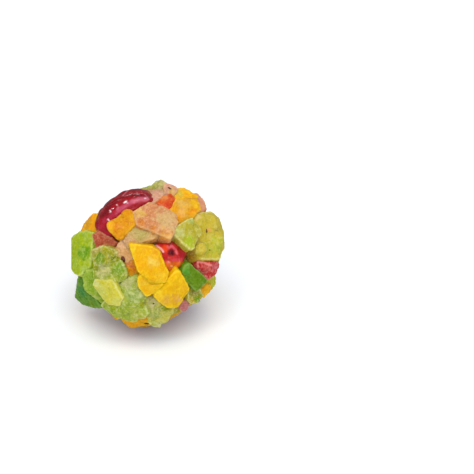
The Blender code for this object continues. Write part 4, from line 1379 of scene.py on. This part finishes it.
def crumbTree():
    tree = bpy.data.node_groups.new("fruitCrumbs", "GeometryNodeTree")
    addTreeInput(tree, "Geometry", "NodeSocketGeometry", None)
    sockets = {key: addTreeInput(tree, name, kind, crumbs[key]) for key, (name, kind) in crumbInputs.items()}
    sockets["material"] = addTreeInput(tree, "Crumb flesh", "NodeSocketMaterial", None)
    tree.interface.new_socket("Geometry", in_out="OUTPUT", socket_type="NodeSocketGeometry")
    entry = addNode(tree, "NodeGroupInput")
    scattered = addNode(tree, "GeometryNodeDistributePointsOnFaces", Mesh=entry.outputs["Geometry"],
                        Density=entry.outputs["Crumbs per square metre"], Seed=entry.outputs["Seed"])
    rise = mathNode(tree, "MULTIPLY", entry.outputs["Lift mm"], mm)
    lifted = addNode(tree, "GeometryNodeSetPosition", Geometry=scattered.outputs["Points"],
                     Offset=scaledBy(tree, scattered.outputs["Normal"], rise))
    radius = mathNode(tree, "MULTIPLY", entry.outputs["Crumb radius mm"], mm)
    crumb = addNode(tree, "GeometryNodeMeshIcoSphere", Radius=radius, Subdivisions=crumbs["subdivisions"])
    turn = addNode(tree, "FunctionNodeRandomValue", {"data_type": "FLOAT_VECTOR"}, Seed=entry.outputs["Seed"])
    turn.inputs["Max"].default_value = (math.tau, math.tau, math.tau)
    stretch = randomNumber(tree, entry)
    tree.links.new(entry.outputs["Smallest scale"], stretch.inputs[2])
    tree.links.new(entry.outputs["Largest scale"], stretch.inputs[3])
    placed = addNode(tree, "GeometryNodeInstanceOnPoints", Points=lifted.outputs[0],
                     Instance=crumb.outputs["Mesh"], Rotation=turn.outputs["Value"], Scale=stretch.outputs[1])
    perCrumb = {"data_type": "FLOAT_COLOR", "domain": "INSTANCE"}
    coloured = addNode(tree, "GeometryNodeStoreNamedAttribute", perCrumb, Geometry=placed.outputs[0],
                       Name="flesh", Value=crumbColour(tree, entry))
    realized = addNode(tree, "GeometryNodeRealizeInstances", Geometry=coloured.outputs[0])
    place = addNode(tree, "GeometryNodeInputPosition").outputs[0]
    perPoint = {"data_type": "FLOAT_VECTOR", "domain": "POINT"}
    marked = addNode(tree, "GeometryNodeStoreNamedAttribute", perPoint, Geometry=realized.outputs[0],
                     Name="cut", Value=place)
    lumps = addNode(tree, "ShaderNodeTexNoise", Vector=place, Scale=1.0 / crumbs["lumpSize"], Detail=1.0)
    lumpy = scaledBy(tree, centredVector(tree, lumps.outputs[1]), crumbs["lumpDepth"])
    shaped = addNode(tree, "GeometryNodeSetPosition", Geometry=marked.outputs[0], Offset=lumpy)
    dressed = addNode(tree, "GeometryNodeSetMaterial", Geometry=shaped.outputs[0],
                      Material=entry.outputs["Crumb flesh"])
    addNode(tree, "NodeGroupOutput", Geometry=dressed.outputs[0])
    return tree, sockets


def makeCrumbs(coreObject):
    obj = linkObject("fruitCrumbs", coreObject.data.copy())
    tree, sockets = crumbTree()
    values = {key: crumbs[key] for key in crumbInputs}
    values["material"] = fleshMaterial("crumbs", kinds["mottledDice"])
    applyTree(obj, tree, sockets, values)
    print(f"fruitCrumbs: {len(obj.data.polygons)} faces")
    return finishPiece(obj, fruitSlot, "fruit_cluster")


# Dark seeds in the flesh: where they show (across, up), length and width in mm, turn in degrees

seeds = {
    "shown": [
        (-7.2, -1.2, 2.4, 1.3, -56.0), (6.3, 19.2, 1.3, 0.6, -30.0), (17.0, 6.9, 1.3, 0.5, 85.0),
        (1.6, -14.2, 0.6, 0.45, 40.0), (17.9, 1.3, 0.5, 0.4, 0.0), (-0.4, -19.9, 1.7, 0.8, 10.0),
    ],
    "hiddenCount": 9,
    "hiddenLength": (0.7, 1.8),
    "hiddenWidth": (0.4, 0.55),  # as a share of the length
    "lowest": -0.7,
    "segments": 16,
    "rings": 12,
    "thinness": 2.6,  # width over half the thickness
    "taper": 0.4,
    "seed": 21,
}


def seedMesh(bm, place, normal, along, length, width):
    side = normal.cross(along).normalized()
    along = side.cross(normal)
    frameOf = Matrix((along, side, normal)).transposed().to_4x4()
    half = Matrix.Diagonal((length / 2.0, width / 2.0, width / seeds["thinness"], 1.0))
    sphere = bmesh.ops.create_uvsphere(
        bm, u_segments=seeds["segments"], v_segments=seeds["rings"], radius=1.0)
    for vert in sphere["verts"]:
        vert.co.yz = vert.co.yz * (1.0 - seeds["taper"] * (vert.co.x + 1.0) / 2.0)
    bmesh.ops.transform(bm, matrix=Matrix.Translation(place) @ frameOf @ half, verts=sphere["verts"])


def makeSeeds(pieces):
    trees = [BVHTree.FromPolygons(*(part.tolist() for part in meshArrays(piece.data))) for piece in pieces]

    def firstHit(start, direction):
        hits = [tree.ray_cast(start, direction) for tree in trees]
        return min((hit for hit in hits if hit[0] is not None), key=lambda hit: hit[3])

    bm = bmesh.new()
    for x, y, length, width, turn in seeds["shown"]:
        place, normal, _, _ = firstHit(eyePoint, (seenFromEye(x * mm, y * mm) - eyePoint).normalized())
        along = math.cos(math.radians(turn)) * across + math.sin(math.radians(turn)) * up
        seedMesh(bm, place, normal, along, length * mm, width * mm)
    draw = random.Random(seeds["seed"])
    placed = 0
    while placed < seeds["hiddenCount"]:
        outward = Vector([draw.gauss(0.0, 1.0) for _ in range(3)]).normalized()
        length = draw.uniform(*seeds["hiddenLength"])
        along = Vector([draw.gauss(0.0, 1.0) for _ in range(3)])
        if outward.dot(towardsEye) > 0.0 or outward.z < seeds["lowest"]:
            continue
        place, normal, _, _ = firstHit(ball["centre"] + outward * 2.0 * ball["radius"], -outward)
        width = length * draw.uniform(*seeds["hiddenWidth"])
        seedMesh(bm, place, normal, along, length * mm, width * mm)
        placed += 1
    mesh = bpy.data.meshes.new("seeds")
    bm.to_mesh(mesh)
    bm.free()
    mesh.materials.append(seedMaterial())
    print(f"seeds: {len(seeds['shown'])} in front, {placed} on the other sides")
    return finishPiece(linkObject("seeds", mesh), fruitSlot, "fruit_cluster")


cherrySkin = {
    "segments": 192,
    "rings": 112,
    "dimpleDepth": 0.24,
    "dimpleSpread": 0.34,
    "wrinkles": 7,
    "wrinkleLean": 2.0,
    "creaseSize": 2.4,
    "creaseStretch": 0.28,
    "creaseDepth": 0.2 * mm,
    "creaseNarrowness": 2.4,
    "creasePower": 4,
    "creaseShade": 0.4,
    "foldShade": 1.4 * mm,
    "foldFade": 0.6,
    "fineSize": 1.8,
    "fineDepth": 0.22 * mm,
    "crestLimit": 0.3,
    "pitLimit": 0.45,
    "pitSharpness": 2.2,
    "facingSharpness": 4.0,
    "streakPower": 4,
}


def nearLie(point, lie, width, drift):  # 1 on a line along the cherry and 0 away from it
    turn = math.degrees(math.atan2(point.z, point.y))
    gap = (turn - lie - drift * point.x + 180.0) % 360.0 - 180.0
    return math.exp(-((gap / width) ** 2)) * max(1.0 - point.x**2, 0.0) ** cherrySkin["foldFade"]


def foldDepth(point, folds):
    return sum(nearLie(point, lie, width, drift) * depth * mm for lie, width, depth, drift in folds)


def nearRoute(places, corners):  # how far each place, seen from the eye, lies from a line through the corners
    nearest = np.full(len(places), np.inf)
    for start, end in zip(corners, corners[1:]):
        along = np.subtract(end, start)
        share = np.clip((places - start) @ along / (along @ along), 0.0, 1.0)
        nearest = np.minimum(nearest, np.linalg.norm(places - start - share[:, None] * along, axis=1))
    return nearest


def seenPlaces(verts):  # (across, up) in mm of each vertex as the eye sees it, and how far it faces the eye
    places = []
    facing = []
    for vert in verts:
        offset = vert.co - ball["centre"]
        larger = eye["distance"] / (eye["distance"] - offset.dot(towardsEye)) / mm
        places.append((offset.dot(across) * larger, offset.dot(up) * larger))
        facing.append(vert.normal.dot(towardsEye))
    return np.array(places), smoothstep(np.array(facing) * cherrySkin["facingSharpness"])


def paintCherry(form, crests, shadeAndSheen, nearPit, places, facing):
    skin, deep, pit = (np.array(srgb(*form[key])) for key in ("skin", "deep", "pit"))
    # the deep colour in folds and creases: painted shade
    folds = smoothstep(crests)[:, None]
    colour = skin * (1.0 - folds) + deep * folds
    # bands: painted shade along the outline and painted pinkish sheen
    for band, share in zip(form["shadeAndSheenBands"], np.array(shadeAndSheen).T):
        colour = colour * (1.0 - share[:, None]) + np.array(srgb(*band[4])) * share[:, None]
    # streaks: painted highlights, a painted reflection band and painted shade lines, with some of the skin's
    # own spots; each fades where the skin turns from the eye
    for corners, width, strength, tone in form["streaksAndPaintedLight"]:
        near = np.exp(-((nearRoute(places, corners) / width) ** cherrySkin["streakPower"]))
        share = (strength * facing * near)[:, None]
        colour = colour * (1.0 - share) + np.array(srgb(*tone)) * share
    # the pit's hollow takes the pit colour: painted shade
    pitShare = smoothstep((np.array(nearPit) - cherrySkin["pitLimit"]) * cherrySkin["pitSharpness"])[:, None]
    return colour * (1.0 - pitShare) + pit * pitShare


def makeCherry(name, form):
    bm = bmesh.new()
    bmesh.ops.create_uvsphere(
        bm, u_segments=cherrySkin["segments"], v_segments=cherrySkin["rings"], radius=1.0)
    nearPit = []
    folded = []
    shadeAndSheen = []
    for vert in bm.verts:
        fromDimple = math.acos(max(-1.0, min(1.0, vert.co.z)))
        roundStem = math.atan2(vert.co.y, vert.co.x)
        dimple = math.exp(-((fromDimple / cherrySkin["dimpleSpread"]) ** 2))
        ridge = math.sin(cherrySkin["wrinkles"] * roundStem + cherrySkin["wrinkleLean"] * vert.co.z)
        ridge *= math.sin(fromDimple) ** 2
        folded.append(foldDepth(vert.co, form["folds"]))
        shadeAndSheen.append([nearLie(vert.co, *band[:3]) * band[3] for band in form["shadeAndSheenBands"]])
        vert.co *= 1.0 - cherrySkin["dimpleDepth"] * dimple + form["wrinkle"] * ridge
        vert.co = Vector([part * half * mm for part, half in zip(vert.co, form["halves"])])
        nearPit.append(dimple)
    bm.normal_update()
    crests = []
    cutPlaces = []
    shift = Vector(form["centre"])
    for vert, fold in zip(bm.verts, folded):
        cutPlaces.append(vert.co + shift * mm)
        place = vert.co / (cherrySkin["creaseSize"] * mm) + shift
        place.x *= cherrySkin["creaseStretch"]
        beside = abs(noise.noise(place)) * cherrySkin["creaseNarrowness"]
        crease = max(1.0 - beside, 0.0) ** cherrySkin["creasePower"]
        fine = noise.noise(vert.co / (cherrySkin["fineSize"] * mm) + shift)
        crests.append(cherrySkin["creaseShade"] * crease + fold / cherrySkin["foldShade"])
        vert.co -= vert.normal * (crease * cherrySkin["creaseDepth"] + fold - fine * cherrySkin["fineDepth"])
    eyeFrame = Matrix((across, up, towardsEye)).transposed()
    turned = Matrix.Rotation(math.radians(form["turn"]), 3, "Z")
    tipped = Matrix.Rotation(math.radians(form["tip"]), 3, "X")
    bmesh.ops.rotate(bm, verts=bm.verts, cent=(0, 0, 0), matrix=eyeFrame @ (turned @ tipped))
    bmesh.ops.translate(bm, verts=bm.verts, vec=seenFromEye(*(value * mm for value in form["centre"])))
    bm.normal_update()
    places, facing = seenPlaces(bm.verts)
    mesh = bpy.data.meshes.new(name + "_skin")
    bm.to_mesh(mesh)
    bm.free()
    crests = np.array(crests)
    addAttribute(mesh, "flesh", "FLOAT_COLOR", paintCherry(form, crests, shadeAndSheen, nearPit, places, facing))
    # 1 away from folds and creases, where the skin takes a painted highlight
    addAttribute(mesh, "highlightShare", "FLOAT", smoothstep(cherrySkin["crestLimit"] - crests))
    addAttribute(mesh, "cut", "FLOAT_VECTOR", cutPlaces)
    obj = linkObject(name + "_skin", mesh)
    mesh.materials.append(cherryMaterial(name))
    print(f"{obj.name}: {len(mesh.polygons)} faces")
    return finishPiece(obj, cherrySlot, name)


# Stage: pale floor, soft studio light and the camera

# Beside the ball the floor is painted a cool tint, which evens out the warm light that the fruit casts on it.
# The floor also glows faintly, a painted light that lifts its shadow
floorLook = {
    "colour": (0.93, 0.95, 0.985, 1.0),
    "coolColour": (0.63, 0.70, 1.0, 1.0),
    "cool": 7.0 * mm,
    "plain": 22.0 * mm,
    "size": 2.0,
    "shader": {
        # a faint glow over the whole floor: painted light
        "Emission Color": (1.0, 1.0, 1.0, 1.0),
        "Emission Strength": 0.07,
        "Roughness": 0.7,
        "Specular IOR Level": 0.1,
    },
}


def makeFloor():
    bm = bmesh.new()
    bmesh.ops.create_grid(bm, x_segments=1, y_segments=1, size=floorLook["size"])
    mesh = bpy.data.meshes.new("floor")
    bm.to_mesh(mesh)
    bm.free()
    floor = linkObject("floor", mesh)
    material, tree, shader = newMaterial("floor", floorLook["shader"])
    fromBall = addNode(tree, "ShaderNodeVectorMath", {"operation": "LENGTH"}, Vector=objectPlace(tree))
    beside = remap(tree, fromBall.outputs["Value"], floorLook["cool"], floorLook["plain"], 1.0, 0.0)
    tone = mixColours(tree, beside, floorLook["colour"], floorLook["coolColour"])
    tree.links.new(tone, shader.inputs["Base Color"])
    mesh.materials.append(material)
    floor.visible_glossy = False


lights = {
    "sky": dict(kind="SUN", place=(0.08, -0.55, 1.0), power=1.45, spread=44.0, inGloss=False),
    "softbox": dict(kind="AREA", place=(-0.16, -0.34, 0.46), power=0.36, size=(0.16, 0.1), inGloss=False),
    "strip": dict(
        kind="AREA", place=(-0.06, -0.26, 0.56), power=0.7, size=(0.8, 0.1), inGloss=True, inDiffuse=False),
    "glint": dict(
        kind="AREA", place=(-0.24, -0.30, 0.42), power=0.6, size=(0.045, 0.045), inGloss=True,
        inDiffuse=False),
    "rearStrip": dict(
        kind="AREA", place=(0.1, 0.3, 0.5), power=1.0, size=(0.8, 0.1), inGloss=True, inDiffuse=False),
}
surround = {"strength": 0.68, "inGloss": 0.16, "colour": (0.95, 0.975, 1.0, 1.0)}


def makeLights():
    for name, setting in lights.items():
        data = bpy.data.lights.new(name, setting["kind"])
        data.energy = setting["power"]
        if setting["kind"] == "SUN":
            data.angle = math.radians(setting["spread"])
        else:
            data.shape = "RECTANGLE"
            data.size, data.size_y = setting["size"]
        lamp = bpy.data.objects.new(name, data)
        bpy.context.scene.collection.objects.link(lamp)
        lamp.location = setting["place"]
        lamp.rotation_euler = (ball["centre"] - lamp.location).to_track_quat("-Z", "Y").to_euler()
        lamp.visible_glossy = setting["inGloss"]
        lamp.visible_diffuse = setting.get("inDiffuse", True)
    world = bpy.data.worlds.new("studio")
    bpy.context.scene.world = world
    world.use_nodes = True
    tree = world.node_tree
    background = tree.nodes["Background"]
    background.inputs["Color"].default_value = surround["colour"]
    glossy = addNode(tree, "ShaderNodeLightPath").outputs["Is Glossy Ray"]
    strength = remap(tree, glossy, 0.0, 1.0, surround["strength"], surround["inGloss"])
    tree.links.new(strength, background.inputs["Strength"])


def makeCamera():
    data = bpy.data.cameras.new("camera")
    data.lens = eye["lens"]
    data.sensor_width = eye["sensor"]
    camera = bpy.data.objects.new("camera", data)
    bpy.context.scene.collection.objects.link(camera)
    camera.location = eyePoint
    aimLine = (seenFromEye(eye["aimAcross"], eye["aimUp"]) - eyePoint).normalized()
    right = (across - across.dot(aimLine) * aimLine).normalized()
    camera.rotation_euler = Matrix((right, right.cross(aimLine), -aimLine)).transposed().to_euler()
    data.clip_start = eye["nearest"]
    data.clip_end = eye["furthest"]
    bpy.context.scene.camera = camera
    bpy.context.scene.view_settings.view_transform = "Standard"


makeCamera()
makeFloor()
makeLights()
syrupCore = makeCore()
makeCrumbs(syrupCore)
fruitPieces = makeFruit()
makeSeeds(fruitPieces)
for cherryName, cherryForm in cherries.items():
    makeCherry(cherryName, cherryForm)
